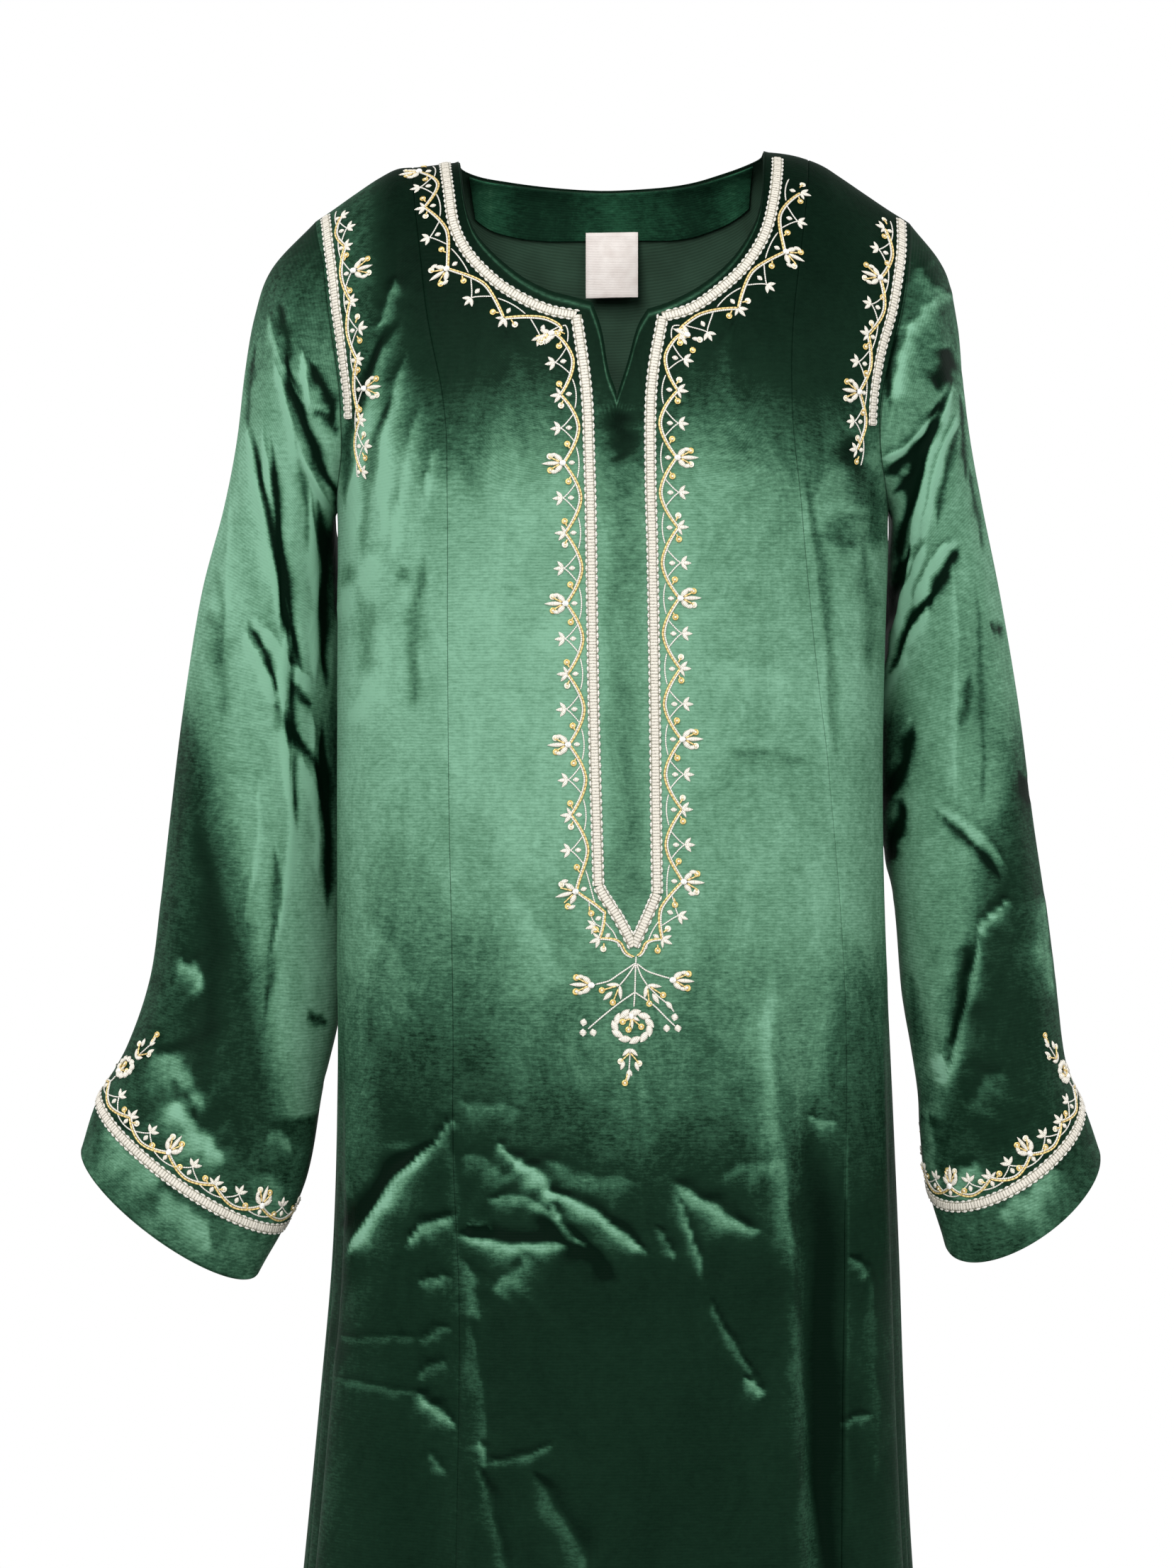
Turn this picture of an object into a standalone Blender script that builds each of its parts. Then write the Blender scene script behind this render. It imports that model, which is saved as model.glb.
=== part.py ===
"""Child's velvet kaftan, worn form with no wearer: hollow body, sleeves, neck trim.

Frame: metres, +Z up, the front faces -Y, +X is to the right of a viewer in front.
The origin is midway between the two points where the neckline meets a shoulder.

The body is one surface of an angle and a fall. The fall q runs down the cloth from
the shoulder ridge: over the first quarter turn it curves forward (or back) like an
ellipse, and from there it hangs straight. Across, every level is a superellipse,
wider than the shoulders above the armholes, so each armhole is cut out of it.
Panels are grids on that surface between their seams. Each grid is given a wall by
moving it out and in along its normals, and neighbours stop short of their seam.
"""

import math

import bpy
import numpy as np

CLOTH = 0.0016
SEAM_HALF_GAP = 0.00015
LAP_GAP = 0.0008
TURN_RADIUS = 0.2
SQUARENESS = 2.3
HEM_DEPTH = 1.22
ARMPIT_DEPTH = 0.205
UPPER_ROWS = 12
LOWER_ROWS = 16
SIDE_COLUMNS = 6
AROUND = 24

# depth below the ridge, half width on the left, half width on the right
HALF_WIDTHS = np.array(
    (
        (0.00, 0.2000, 0.2010),
        (0.04, 0.1970, 0.1985),
        (0.08, 0.1890, 0.1910),
        (0.12, 0.1780, 0.1805),
        (0.15, 0.1705, 0.1730),
        (0.18, 0.1640, 0.1670),
        (0.205, 0.1592, 0.1628),
        (0.23, 0.1588, 0.1622),
        (0.28, 0.1590, 0.1605),
        (0.366, 0.1592, 0.1590),
        (0.458, 0.1592, 0.1608),
        (0.541, 0.1596, 0.1651),
        (0.642, 0.1624, 0.1693),
        (0.734, 0.1700, 0.1722),
        (0.826, 0.1785, 0.1766),
        (1.00, 0.1960, 0.1935),
        (1.22, 0.2150, 0.2140),
    )
)
# depth, half depth of the front, half depth of the back
HALF_DEPTHS = np.array(
    (
        (0.00, 0.098, 0.094),
        (0.10, 0.099, 0.095),
        (0.20, 0.101, 0.094),
        (0.30, 0.099, 0.089),
        (0.40, 0.099, 0.091),
        (0.50, 0.103, 0.101),
        (0.65, 0.112, 0.114),
        (0.80, 0.124, 0.125),
        (1.22, 0.160, 0.158),
    )
)
# distance from the middle, height of the shoulder line on the left and on the right
RIDGE = np.array(
    (
        (0.0000, 0.0000, 0.0000),
        (0.0500, 0.0000, 0.0000),
        (0.0895, -0.0026, 0.0036),
        (0.1120, -0.0053, 0.0002),
        (0.1250, -0.0066, -0.0050),
        (0.1342, -0.0113, -0.0110),
        (0.1486, -0.0208, -0.0208),
        (0.1645, -0.0320, -0.0314),
        (0.1730, -0.0376, -0.0366),
        (0.1900, -0.0500, -0.0480),
    )
)
# sideways place and height of the cut front neckline, from left to right
NECKLINE = np.array(
    (
        (-0.0889, -0.0026),
        (-0.0870, -0.0120),
        (-0.0845, -0.0300),
        (-0.0792, -0.0477),
        (-0.0682, -0.0622),
        (-0.0520, -0.0764),
        (-0.0359, -0.0853),
        (-0.0227, -0.0891),
        (-0.0110, -0.0925),
        (-0.0058, -0.1084),
        (-0.0022, -0.1302),
        (0.0035, -0.1482),
        (0.0104, -0.1261),
        (0.0156, -0.1070),
        (0.0212, -0.0966),
        (0.0348, -0.0918),
        (0.0523, -0.0820),
        (0.0686, -0.0678),
        (0.0796, -0.0520),
        (0.0862, -0.0360),
        (0.0887, -0.0163),
        (0.0902, 0.0036),
    )
)
# sideways place and fall of the back neckline below the ridge
BACK_NECKLINE = np.array(
    (
        (-0.0889, 0.0000),
        (-0.0862, 0.0009),
        (-0.0780, 0.0032),
        (-0.0620, 0.0058),
        (-0.0420, 0.0081),
        (-0.0200, 0.0093),
        (0.0000, 0.0096),
        (0.0200, 0.0087),
        (0.0420, 0.0072),
        (0.0620, 0.0049),
        (0.0790, 0.0026),
        (0.0875, 0.0007),
        (0.0902, 0.0000),
    )
)
# height, sideways place of the left and of the right armhole edge
ARMHOLE = np.array(
    (
        (-0.2050, -0.1592, 0.1628),
        (-0.1895, -0.1572, 0.1588),
        (-0.1758, -0.1552, 0.1556),
        (-0.1581, -0.1548, 0.1545),
        (-0.1404, -0.1556, 0.1562),
        (-0.1223, -0.1580, 0.1600),
        (-0.0951, -0.1622, 0.1668),
        (-0.0628, -0.1664, 0.1722),
        (-0.0366, -0.1715, 0.1745),
        (-0.0300, -0.1720, 0.1750),
    )
)
# height, sideways place of the two long front seams
FRONT_SEAMS = np.array(
    (
        (-1.220, -0.0950, 0.1480),
        (-0.810, -0.0868, 0.1330),
        (-0.632, -0.0869, 0.1335),
        (-0.588, -0.0890, 0.1340),
        (-0.499, -0.0894, 0.1345),
        (-0.366, -0.0920, 0.1252),
        (-0.277, -0.0926, 0.1150),
        (-0.200, -0.0928, 0.1076),
        (-0.158, -0.0940, 0.1035),
        (-0.138, -0.0967, 0.1030),
        (-0.119, -0.1008, 0.1032),
        (-0.093, -0.1055, 0.1050),
        (-0.067, -0.1085, 0.1082),
        (-0.030, -0.1130, 0.1130),
        (0.010, -0.1170, 0.1170),
    )
)
# angle round the body and spread in degrees, reach at the hem, depth where it starts
FLUTES = (
    (-150, 14, 0.016, 0.50),
    (-124, 12, -0.014, 0.50),
    (-101, 11, 0.006, 0.50),
    (-81, 8, -0.020, 0.48),
    (-63, 9, 0.008, 0.48),
    (-34, 9, -0.012, 0.55),
    (-20, 7, 0.014, 0.55),
    (6, 14, -0.008, 0.55),
    (31, 6, 0.014, 0.45),
    (41, 5, -0.018, 0.45),
    (64, 9, 0.008, 0.48),
    (81, 8, -0.020, 0.48),
    (101, 11, 0.006, 0.50),
    (126, 12, -0.014, 0.50),
    (150, 14, 0.016, 0.50),
    (180, 12, -0.016, 0.50),
)
# outer x, outer z, inner x, inner z, inner y, half depth, middle y, front drop
LEFT_SLEEVE = np.array(
    (
        (-0.1715, -0.037, -0.1592, -0.205, 0.000, 0.047, 0.000, 0.000),
        (-0.1973, -0.064, -0.1612, -0.209, 0.006, 0.052, 0.004, 0.000),
        (-0.2077, -0.091, -0.1614, -0.215, 0.015, 0.055, 0.008, 0.000),
        (-0.2139, -0.124, -0.1610, -0.224, 0.024, 0.056, 0.011, 0.000),
        (-0.2190, -0.165, -0.1600, -0.238, 0.032, 0.056, 0.013, 0.000),
        (-0.2270, -0.205, -0.1588, -0.260, 0.036, 0.054, 0.014, 0.000),
        (-0.2400, -0.255, -0.1578, -0.295, 0.038, 0.052, 0.014, 0.000),
        (-0.2507, -0.322, -0.1568, -0.340, 0.038, 0.049, 0.014, 0.000),
        (-0.2587, -0.388, -0.1570, -0.395, 0.038, 0.046, 0.014, 0.002),
        (-0.2640, -0.435, -0.1578, -0.445, 0.036, 0.044, 0.013, 0.004),
        (-0.2700, -0.480, -0.1600, -0.497, 0.030, 0.042, 0.010, 0.007),
        (-0.2830, -0.520, -0.1700, -0.545, 0.018, 0.040, 0.004, 0.010),
        (-0.3000, -0.552, -0.1800, -0.600, 0.004, 0.036, -0.003, 0.014),
        (-0.3087, -0.580, -0.2060, -0.650, -0.004, 0.034, -0.008, 0.017),
    )
)
RIGHT_SLEEVE = np.array(
    (
        (0.1745, -0.038, 0.1628, -0.205, 0.000, 0.047, 0.000, 0.000),
        (0.1948, -0.064, 0.1652, -0.211, 0.006, 0.052, 0.004, 0.000),
        (0.2030, -0.095, 0.1655, -0.217, 0.015, 0.055, 0.008, 0.000),
        (0.2065, -0.127, 0.1650, -0.226, 0.024, 0.056, 0.011, 0.000),
        (0.2115, -0.165, 0.1638, -0.240, 0.032, 0.056, 0.013, 0.000),
        (0.2190, -0.205, 0.1620, -0.262, 0.036, 0.054, 0.014, 0.000),
        (0.2295, -0.257, 0.1605, -0.295, 0.037, 0.052, 0.014, 0.000),
        (0.2400, -0.320, 0.1598, -0.340, 0.036, 0.049, 0.013, 0.000),
        (0.2480, -0.385, 0.1615, -0.395, 0.030, 0.046, 0.010, 0.003),
        (0.2550, -0.435, 0.1690, -0.440, 0.020, 0.044, 0.006, 0.006),
        (0.2610, -0.484, 0.1728, -0.491, 0.012, 0.042, 0.002, 0.010),
        (0.2668, -0.530, 0.1800, -0.540, 0.006, 0.040, -0.002, 0.014),
        (0.2790, -0.561, 0.1845, -0.590, 0.000, 0.036, -0.005, 0.019),
        (0.2861, -0.583, 0.1967, -0.6335, -0.004, 0.034, -0.008, 0.024),
    )
)
# middle line of the braid round the neck and down both sides of the front opening
NECK_BRAID = np.array(
    (
        (-0.0965, -0.0045),
        (-0.0952, -0.0120),
        (-0.0930, -0.0260),
        (-0.0894, -0.0466),
        (-0.0810, -0.0634),
        (-0.0665, -0.0790),
        (-0.0508, -0.0898),
        (-0.0352, -0.0969),
        (-0.0196, -0.1001),
        (-0.0138, -0.1442),
        (-0.0120, -0.1889),
        (-0.0098, -0.3217),
        (-0.0071, -0.4236),
        (0.0128, -0.4577),
        (0.0261, -0.4281),
        (0.0248, -0.3217),
        (0.0234, -0.2331),
        (0.0226, -0.1486),
        (0.0294, -0.1010),
        (0.0450, -0.0963),
        (0.0608, -0.0856),
        (0.0766, -0.0705),
        (0.0882, -0.0514),
        (0.0940, -0.0295),
        (0.0965, -0.0120),
        (0.0972, -0.0030),
    )
)
BRAID_CORNERS = (8, 12, 13, 14, 18)
LEFT_ARMHOLE_BRAID = np.array(
    (
        (-0.1655, -0.0360),
        (-0.1612, -0.0628),
        (-0.1570, -0.0951),
        (-0.1532, -0.1223),
        (-0.1508, -0.1420),
        (-0.1500, -0.1560),
    )
)
RIGHT_ARMHOLE_BRAID = np.array(
    (
        (0.1690, -0.0380),
        (0.1668, -0.0660),
        (0.1616, -0.0944),
        (0.1550, -0.1174),
        (0.1510, -0.1404),
        (0.1497, -0.1600),
    )
)
BRAID_WIDTH = 0.0073
BRAID_THICKNESS = 0.0012
BRAID_LIFT = 0.0007
CUFF_BRAID_FROM_EDGE = 0.033
FACING_DEPTH = 0.0305
FACING_THICKNESS = 0.0012
FACING_LIFT = 0.0008
LABEL_MIDDLE = 0.0015
LABEL_WIDTH = 0.031
LABEL_HEIGHT = 0.039
LABEL_THICKNESS = 0.001
LABEL_OVERLAP = 0.2


def hermite(rows, at, column=1):
    """Value of a table column at the given keys, along a smooth curve."""
    keys = rows[:, 0]
    values = rows[:, column]
    slopes = np.gradient(values, keys)
    at = np.clip(np.asarray(at, dtype=float), keys[0], keys[-1])
    place = np.clip(np.searchsorted(keys, at) - 1, 0, len(keys) - 2)
    step = keys[place + 1] - keys[place]
    s = (at - keys[place]) / step
    rise = 3 * s**2 - 2 * s**3
    lean_in = (s - 2 * s**2 + s**3) * step
    lean_out = (s**3 - s**2) * step
    return (
        values[place] * (1 - rise)
        + values[place + 1] * rise
        + slopes[place] * lean_in
        + slopes[place + 1] * lean_out
    )


def smooth_step(value):
    value = np.clip(value, 0.0, 1.0)
    return value * value * (3 - 2 * value)


def unit(vectors):
    length = np.linalg.norm(vectors, axis=-1, keepdims=True)
    return vectors / np.maximum(length, 1e-12)


def depth_of(fall):
    turned = np.minimum(fall / TURN_RADIUS, math.pi / 2)
    straight = np.maximum(fall - TURN_RADIUS * math.pi / 2, 0)
    return TURN_RADIUS * (1 - np.cos(turned)) + straight


def fall_of(depth):
    turned = np.arccos(np.clip(1 - depth / TURN_RADIUS, 0, 1)) * TURN_RADIUS
    return turned + np.maximum(depth - TURN_RADIUS, 0)


def half_width(depth, sign):
    left = hermite(HALF_WIDTHS, depth, 1)
    right = hermite(HALF_WIDTHS, depth, 2)
    return np.where(sign < 0, left, right)


def ridge_height(x):
    left = hermite(RIDGE, np.abs(x), 1)
    right = hermite(RIDGE, np.abs(x), 2)
    return np.where(x < 0, left, right)


def angle_at(x, depth):
    """Angle across the body that puts the cloth at this sideways place."""
    share = np.clip(np.abs(x) / half_width(depth, x), 0, 1)
    return np.sign(x) * np.arcsin(share ** (SQUARENESS / 2))


def body_point(angle, fall, side):
    """The body surface: side is -1 for the front and 1 for the back."""
    turned = np.clip(fall / TURN_RADIUS, 0, math.pi / 2)
    depth = depth_of(fall)
    across = np.sign(angle) * np.abs(np.sin(angle)) ** (2 / SQUARENESS)
    x = across * half_width(depth, angle)
    z = -depth + ridge_height(x) * np.cos(turned) ** 2
    if side < 0:
        reach = hermite(HALF_DEPTHS, depth, 1)
        power = 0.95
    else:
        reach = hermite(HALF_DEPTHS, depth, 2)
        power = 0.30 + 0.35 * smooth_step(np.abs(x) / 0.17)
    round_share = np.abs(np.cos(angle)) ** (2 / SQUARENESS)
    y = side * reach * round_share * np.sin(turned) ** power
    bearing = np.degrees(angle)
    if side > 0:
        bearing = np.where(angle < 0, -180 - bearing, 180 - bearing)
    push = np.zeros_like(bearing)
    for centre, spread, amount, start in FLUTES:
        grown = np.clip((depth - start) / (HEM_DEPTH - start), 0, 1)
        apart = (bearing - centre + 180) % 360 - 180
        push += amount * grown**0.8 * np.exp(-((apart / spread) ** 2))
    turn = np.radians(bearing)
    x = x + push * np.sin(turn)
    y = y - push * np.cos(turn)
    return np.stack((x, y, z), axis=-1)


def spot(x, z):
    """Angle and fall of a front point given by its sideways place and height."""
    x = np.asarray(x, dtype=float)
    z = np.asarray(z, dtype=float)
    depth = np.maximum(-z, 0)
    for _ in range(30):
        turned = fall_of(depth) / TURN_RADIUS
        fade = np.cos(np.clip(turned, 0, math.pi / 2)) ** 2
        depth = np.maximum(ridge_height(x) * fade - z, 0)
    return angle_at(x, depth), fall_of(depth)


def armhole_edge(column):
    """Angle and fall of the armhole edge, from the shoulder down to the armpit."""
    turns = np.arange(UPPER_ROWS + 1) * math.pi / (2 * UPPER_ROWS)
    falls = float(fall_of(ARMPIT_DEPTH)) * np.sin(turns)
    depth = depth_of(falls)
    x = hermite(ARMHOLE, -depth, column)
    for _ in range(30):
        fade = np.cos(falls / TURN_RADIUS) ** 2
        height = -depth + ridge_height(x) * fade
        x = hermite(ARMHOLE, np.minimum(height, -0.0366), column)
    angles = angle_at(x, depth)
    angles[-1] = math.copysign(math.pi / 2, x[-1])
    return angles, falls


def seam_edge(column):
    """Angle and fall of a long front seam, from the shoulder to the hem."""
    upper = np.linspace(0, float(fall_of(ARMPIT_DEPTH)), UPPER_ROWS + 1)
    falls = np.concatenate((upper, lower_falls()[1:]))
    depth = depth_of(falls)
    fade = np.cos(np.clip(falls / TURN_RADIUS, 0, math.pi / 2)) ** 2
    x = hermite(FRONT_SEAMS, -depth, column)
    for _ in range(30):
        x = hermite(FRONT_SEAMS, -depth + ridge_height(x) * fade, column)
    return angle_at(x, depth), falls


def lower_falls():
    start = float(fall_of(ARMPIT_DEPTH))
    end = float(fall_of(HEM_DEPTH))
    return start + (end - start) * np.linspace(0, 1, LOWER_ROWS + 1) ** 1.15


def spread_along(points, count):
    """The line through these points, cut again into equal lengths."""
    steps = np.linalg.norm(np.diff(points, axis=0), axis=1)
    run = np.concatenate(((0,), np.cumsum(steps)))
    at = np.linspace(0, run[-1], count + 1)
    return np.stack([np.interp(at, run, points[:, k]) for k in range(2)], axis=-1)


def patch(top, left, right, bottom):
    """Fill between four edges, each a run of angle and fall pairs."""
    columns = len(top) - 1
    rows = len(left) - 1
    u = np.linspace(0, 1, columns + 1)[None, :, None]
    v = np.linspace(0, 1, rows + 1)[:, None, None]
    lofted = (1 - v) * top[None] + v * bottom[None]
    ruled = (1 - u) * left[:, None] + u * right[:, None]
    corners = (1 - v) * ((1 - u) * top[0] + u * top[-1])
    corners = corners + v * ((1 - u) * bottom[0] + u * bottom[-1])
    return lofted + ruled - corners


def panel(top, left, right, side):
    """Grid of points for a panel that runs from its top edge to the hem."""
    columns = len(top) - 1
    u = np.linspace(0, 1, columns + 1)[:, None]
    low_left = left[UPPER_ROWS]
    low_right = right[UPPER_ROWS]
    bottom = (1 - u) * low_left + u * low_right
    upper = patch(top, left[: UPPER_ROWS + 1], right[: UPPER_ROWS + 1], bottom)
    skirt_left = left[UPPER_ROWS + 1 :, None]
    skirt_right = right[UPPER_ROWS + 1 :, None]
    lower = (1 - u[None]) * skirt_left + u[None] * skirt_right
    plan = np.concatenate((upper, lower))
    return body_point(plan[..., 0], plan[..., 1], side)


def grid_normals(grid, closed=False):
    """Normals of a grid, pointing to the right hand of down and across."""
    if closed:
        wide = np.concatenate((grid[:, -1:], grid, grid[:, :1]), axis=1)
        across = wide[:, 2:] - wide[:, :-2]
    else:
        across = np.gradient(grid, axis=1)
    down = np.gradient(grid, axis=0)
    return unit(np.cross(down, across))


def wall(grid, normals, thickness, closed=False):
    """A closed wall round a grid, as points and faces."""
    rows, columns = grid.shape[:2]
    outer = (grid + normals * thickness / 2).reshape(-1, 3)
    inner = (grid - normals * thickness / 2).reshape(-1, 3)
    points = np.concatenate((outer, inner))
    count = rows * columns
    index = np.arange(count).reshape(rows, columns)
    faces = []
    spans = columns if closed else columns - 1
    for i in range(rows - 1):
        for j in range(spans):
            k = (j + 1) % columns
            a, b = index[i, j], index[i + 1, j]
            c, d = index[i + 1, k], index[i, k]
            faces.append((a, b, c))
            faces.append((a, c, d))
            faces.append((c + count, b + count, a + count))
            faces.append((d + count, c + count, a + count))
    rims = [list(index[0, :]), list(index[-1, ::-1])]
    if closed:
        rims = [rim + rim[:1] for rim in rims]
    else:
        rims.append(list(index[::-1, 0]))
        rims.append(list(index[:, -1]))
    for rim in rims:
        for a, b in zip(rim, rim[1:]):
            faces.append((a, b, b + count))
            faces.append((a, b + count, a + count))
    return points, faces


def strip(middle, normals, width, thickness, corners=()):
    """A flat braid along a line: a grid two points wide with mitred corners."""
    count = len(middle)
    sides = np.zeros_like(middle)
    for i in range(count):
        before = middle[i] - middle[i - 1] if i else middle[1] - middle[0]
        after = middle[i + 1] - middle[i] if i < count - 1 else before
        before = unit(before - normals[i] * np.dot(before, normals[i]))
        after = unit(after - normals[i] * np.dot(after, normals[i]))
        along = unit(before + after)
        across = unit(np.cross(normals[i], along))
        stretch = 1 / max(abs(np.dot(along, after)), 0.35) if i in corners else 1
        sides[i] = across * stretch
    grid = np.stack((middle + sides * width / 2, middle - sides * width / 2), axis=1)
    spread = np.stack((normals, normals), axis=1)
    return wall(grid, spread, thickness)


def trim_edge(grid, first, second):
    """Pull one edge line of a grid toward its neighbour line."""
    toward = unit(grid[second] - grid[first])
    grid[first] = grid[first] + toward * SEAM_HALF_GAP


def share(one, other):
    """Give two meeting edges the same wall direction."""
    mean = unit(one + other)
    one[...] = mean
    other[...] = mean


def enclosed(points, faces):
    """Signed volume inside a closed set of triangles."""
    corners = points[np.array(faces)]
    crossed = np.cross(corners[:, 1], corners[:, 2])
    return np.einsum("ij,ij->i", corners[:, 0], crossed).sum() / 6


def place(name, points, faces, material):
    """Make the object, turning its faces outward where they point in."""
    if enclosed(points, faces) < 0:
        faces = [face[::-1] for face in faces]
    mesh = bpy.data.meshes.new(name)
    mesh.from_pydata([tuple(p) for p in points.tolist()], [], faces)
    mesh.materials.append(material)
    mesh.update()
    thing = bpy.data.objects.new(name, mesh)
    COLLECTION.objects.link(thing)
    return thing


def cloth_material(name, colour, roughness):
    material = bpy.data.materials.new(name)
    material.use_nodes = True
    shader = material.node_tree.nodes["Principled BSDF"]
    shader.inputs["Base Color"].default_value = (*colour, 1.0)
    shader.inputs["Roughness"].default_value = roughness
    material.diffuse_color = (*colour, 1.0)
    return material


def top_run(x_values):
    """Angle and fall of points on the shoulder line."""
    x = np.asarray(x_values, dtype=float)
    return np.stack((angle_at(x, np.zeros_like(x)), np.zeros_like(x)), axis=-1)


def braid_line(rows, corners, step):
    """Points along a front braid, evenly spaced between its corners."""
    angle, fall = spot(rows[:, 0], rows[:, 1])
    plan = np.stack((angle, fall), axis=-1)
    ends = [0, *corners, len(rows) - 1]
    middle = []
    kept = []
    for start, stop in zip(ends, ends[1:]):
        piece = plan[start : stop + 1]
        run = np.arange(len(piece), dtype=float)
        if len(piece) > 2:
            fine = np.linspace(0, len(piece) - 1, 12 * (len(piece) - 1) + 1)
            table = np.column_stack((run, piece))
            piece = np.stack((hermite(table, fine, 1), hermite(table, fine, 2)), axis=-1)
        solid = body_point(piece[:, 0], piece[:, 1], -1)
        steps = np.linalg.norm(np.diff(solid, axis=0), axis=1)
        run = np.concatenate(((0,), np.cumsum(steps)))
        count = max(2, round(run[-1] / step))
        at = np.linspace(0, run[-1], count + 1)
        part = np.stack([np.interp(at, run, piece[:, k]) for k in range(2)], axis=-1)
        if middle:
            kept.append(len(middle) - 1)
            part = part[1:]
        middle.extend(part.tolist())
    return np.array(middle), tuple(kept)


def front_normals(plan):
    """Normals of the smooth front surface."""
    step = 1e-4
    angle, fall = plan[:, 0], plan[:, 1]
    across = body_point(angle + step, fall, -1) - body_point(angle - step, fall, -1)
    low = body_point(angle, fall + step, -1)
    high = body_point(angle, np.maximum(fall - step, 1e-5), -1)
    return unit(np.cross(low - high, across))


def front_braid(rows, corners):
    plan, kept = braid_line(rows, corners, 0.0085)
    normals = front_normals(plan)
    lift = CLOTH / 2 + BRAID_LIFT + BRAID_THICKNESS / 2
    middle = body_point(plan[:, 0], plan[:, 1], -1) + normals * lift
    return strip(middle, normals, BRAID_WIDTH, BRAID_THICKNESS, kept)


def sleeve_ring(table, row, turn):
    """Points of one sleeve section; turn 0 is its top, a half turn the underarm."""
    values = np.array([float(hermite(table, row, k)) for k in range(1, 9)])
    outer = np.array((values[0], values[6], values[1]))
    inner = np.array((values[2], values[4], values[3]))
    middle = (outer + inner) / 2
    reach = (outer - inner) / 2
    forward = np.array((0.0, -values[5], -values[7]))
    turn = turn[:, None]
    return middle + np.cos(turn) * reach + np.sin(turn) * forward


def sleeve_grid(table, armhole):
    """Rows of points from the armhole to the cuff."""
    keyed = np.column_stack((np.arange(len(table), dtype=float), table))
    turn = 2 * math.pi * np.arange(AROUND) / AROUND
    offset = armhole - sleeve_ring(keyed, 0.0, turn)

    def ring(row):
        carried = 1 - smooth_step(row / 5.0) ** 0.8
        return sleeve_ring(keyed, row, turn) + offset * carried

    last = len(table) - 1
    fine_rows = np.linspace(10, last, 121)
    fine = np.stack([ring(r) for r in fine_rows])
    steps = np.linalg.norm(np.diff(fine, axis=0), axis=2)
    from_edge = np.concatenate((np.cumsum(steps[::-1], axis=0)[::-1], np.zeros((1, AROUND))))

    def level(distance):
        points = np.zeros((AROUND, 3))
        for j in range(AROUND):
            for k in range(3):
                points[j, k] = np.interp(-distance, -from_edge[:, j], fine[:, j, k])
        return points

    rows = [ring(float(r)) for r in range(12)]
    half = BRAID_WIDTH / 2
    for distance in (CUFF_BRAID_FROM_EDGE + half, CUFF_BRAID_FROM_EDGE - half, 0.014, 0.0):
        rows.append(level(distance))
    return np.stack(rows)


for leftover in list(bpy.data.objects):
    bpy.data.objects.remove(leftover)
COLLECTION = bpy.data.collections.new("kaftan")
bpy.context.scene.collection.children.link(COLLECTION)

VELVET = cloth_material("silk_velvet", (0.035, 0.20, 0.10), 0.55)
BACKING = cloth_material("velvet_facing", (0.025, 0.14, 0.075), 0.65)
SILVER = cloth_material("silver_cream_braid", (0.75, 0.69, 0.60), 0.45)
SATIN = cloth_material("label_satin", (0.80, 0.74, 0.70), 0.50)

left_seam = np.stack(seam_edge(1), axis=-1)
right_seam = np.stack(seam_edge(2), axis=-1)
low = lower_falls()[1:]


def outer_edge(column):
    angles, falls = armhole_edge(column)
    side_angle = np.full(LOWER_ROWS, angles[-1])
    return np.stack((np.concatenate((angles, side_angle)), np.concatenate((falls, low))), axis=-1)


left_edge = outer_edge(1)
right_edge = outer_edge(2)
shoulder_left = float(body_point(left_edge[0, 0], left_edge[0, 1], -1)[0])
shoulder_right = float(body_point(right_edge[0, 0], right_edge[0, 1], -1)[0])
seam_left = float(body_point(left_seam[0, 0], left_seam[0, 1], -1)[0])
seam_right = float(body_point(right_seam[0, 0], right_seam[0, 1], -1)[0])

left_top = top_run(np.linspace(shoulder_left, seam_left, SIDE_COLUMNS + 1))
right_top = top_run(np.linspace(seam_right, shoulder_right, SIDE_COLUMNS + 1))
neck_angle, neck_fall = spot(NECKLINE[:, 0], NECKLINE[:, 1])
neck_plan = np.stack((neck_angle, neck_fall), axis=-1)
neck_plan[0] = top_run((NECKLINE[0, 0],))[0]
neck_plan[-1] = top_run((NECKLINE[-1, 0],))[0]
corner_left, notch, corner_right = 8, 11, 14
neck_line = np.concatenate(
    (
        spread_along(neck_plan[: corner_left + 1], 7),
        spread_along(neck_plan[corner_left : notch + 1], 3)[1:],
        spread_along(neck_plan[notch : corner_right + 1], 3)[1:],
        spread_along(neck_plan[corner_right:], 7)[1:],
    )
)
centre_top = np.concatenate((left_seam[:1], neck_line, right_seam[:1]))
centre_top[0] = left_top[-1]
centre_top[-1] = right_top[0]
left_seam[0] = left_top[-1]
right_seam[0] = right_top[0]

back_x = np.linspace(0, 1, 11)
back_x = BACK_NECKLINE[0, 0] + (BACK_NECKLINE[-1, 0] - BACK_NECKLINE[0, 0]) * (
    0.5 - 0.5 * np.cos(math.pi * back_x)
)
back_depth = np.interp(back_x, BACK_NECKLINE[:, 0], BACK_NECKLINE[:, 1])
back_neck = np.stack((angle_at(back_x, back_depth), fall_of(back_depth)), axis=-1)
back_top = np.concatenate((left_top, back_neck, right_top))

centre = panel(centre_top, left_seam, right_seam, -1)
left_front = panel(left_top, left_edge, left_seam, -1)
right_front = panel(right_top, right_seam, right_edge, -1)
back = panel(back_top, left_edge, right_edge, 1)

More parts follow.
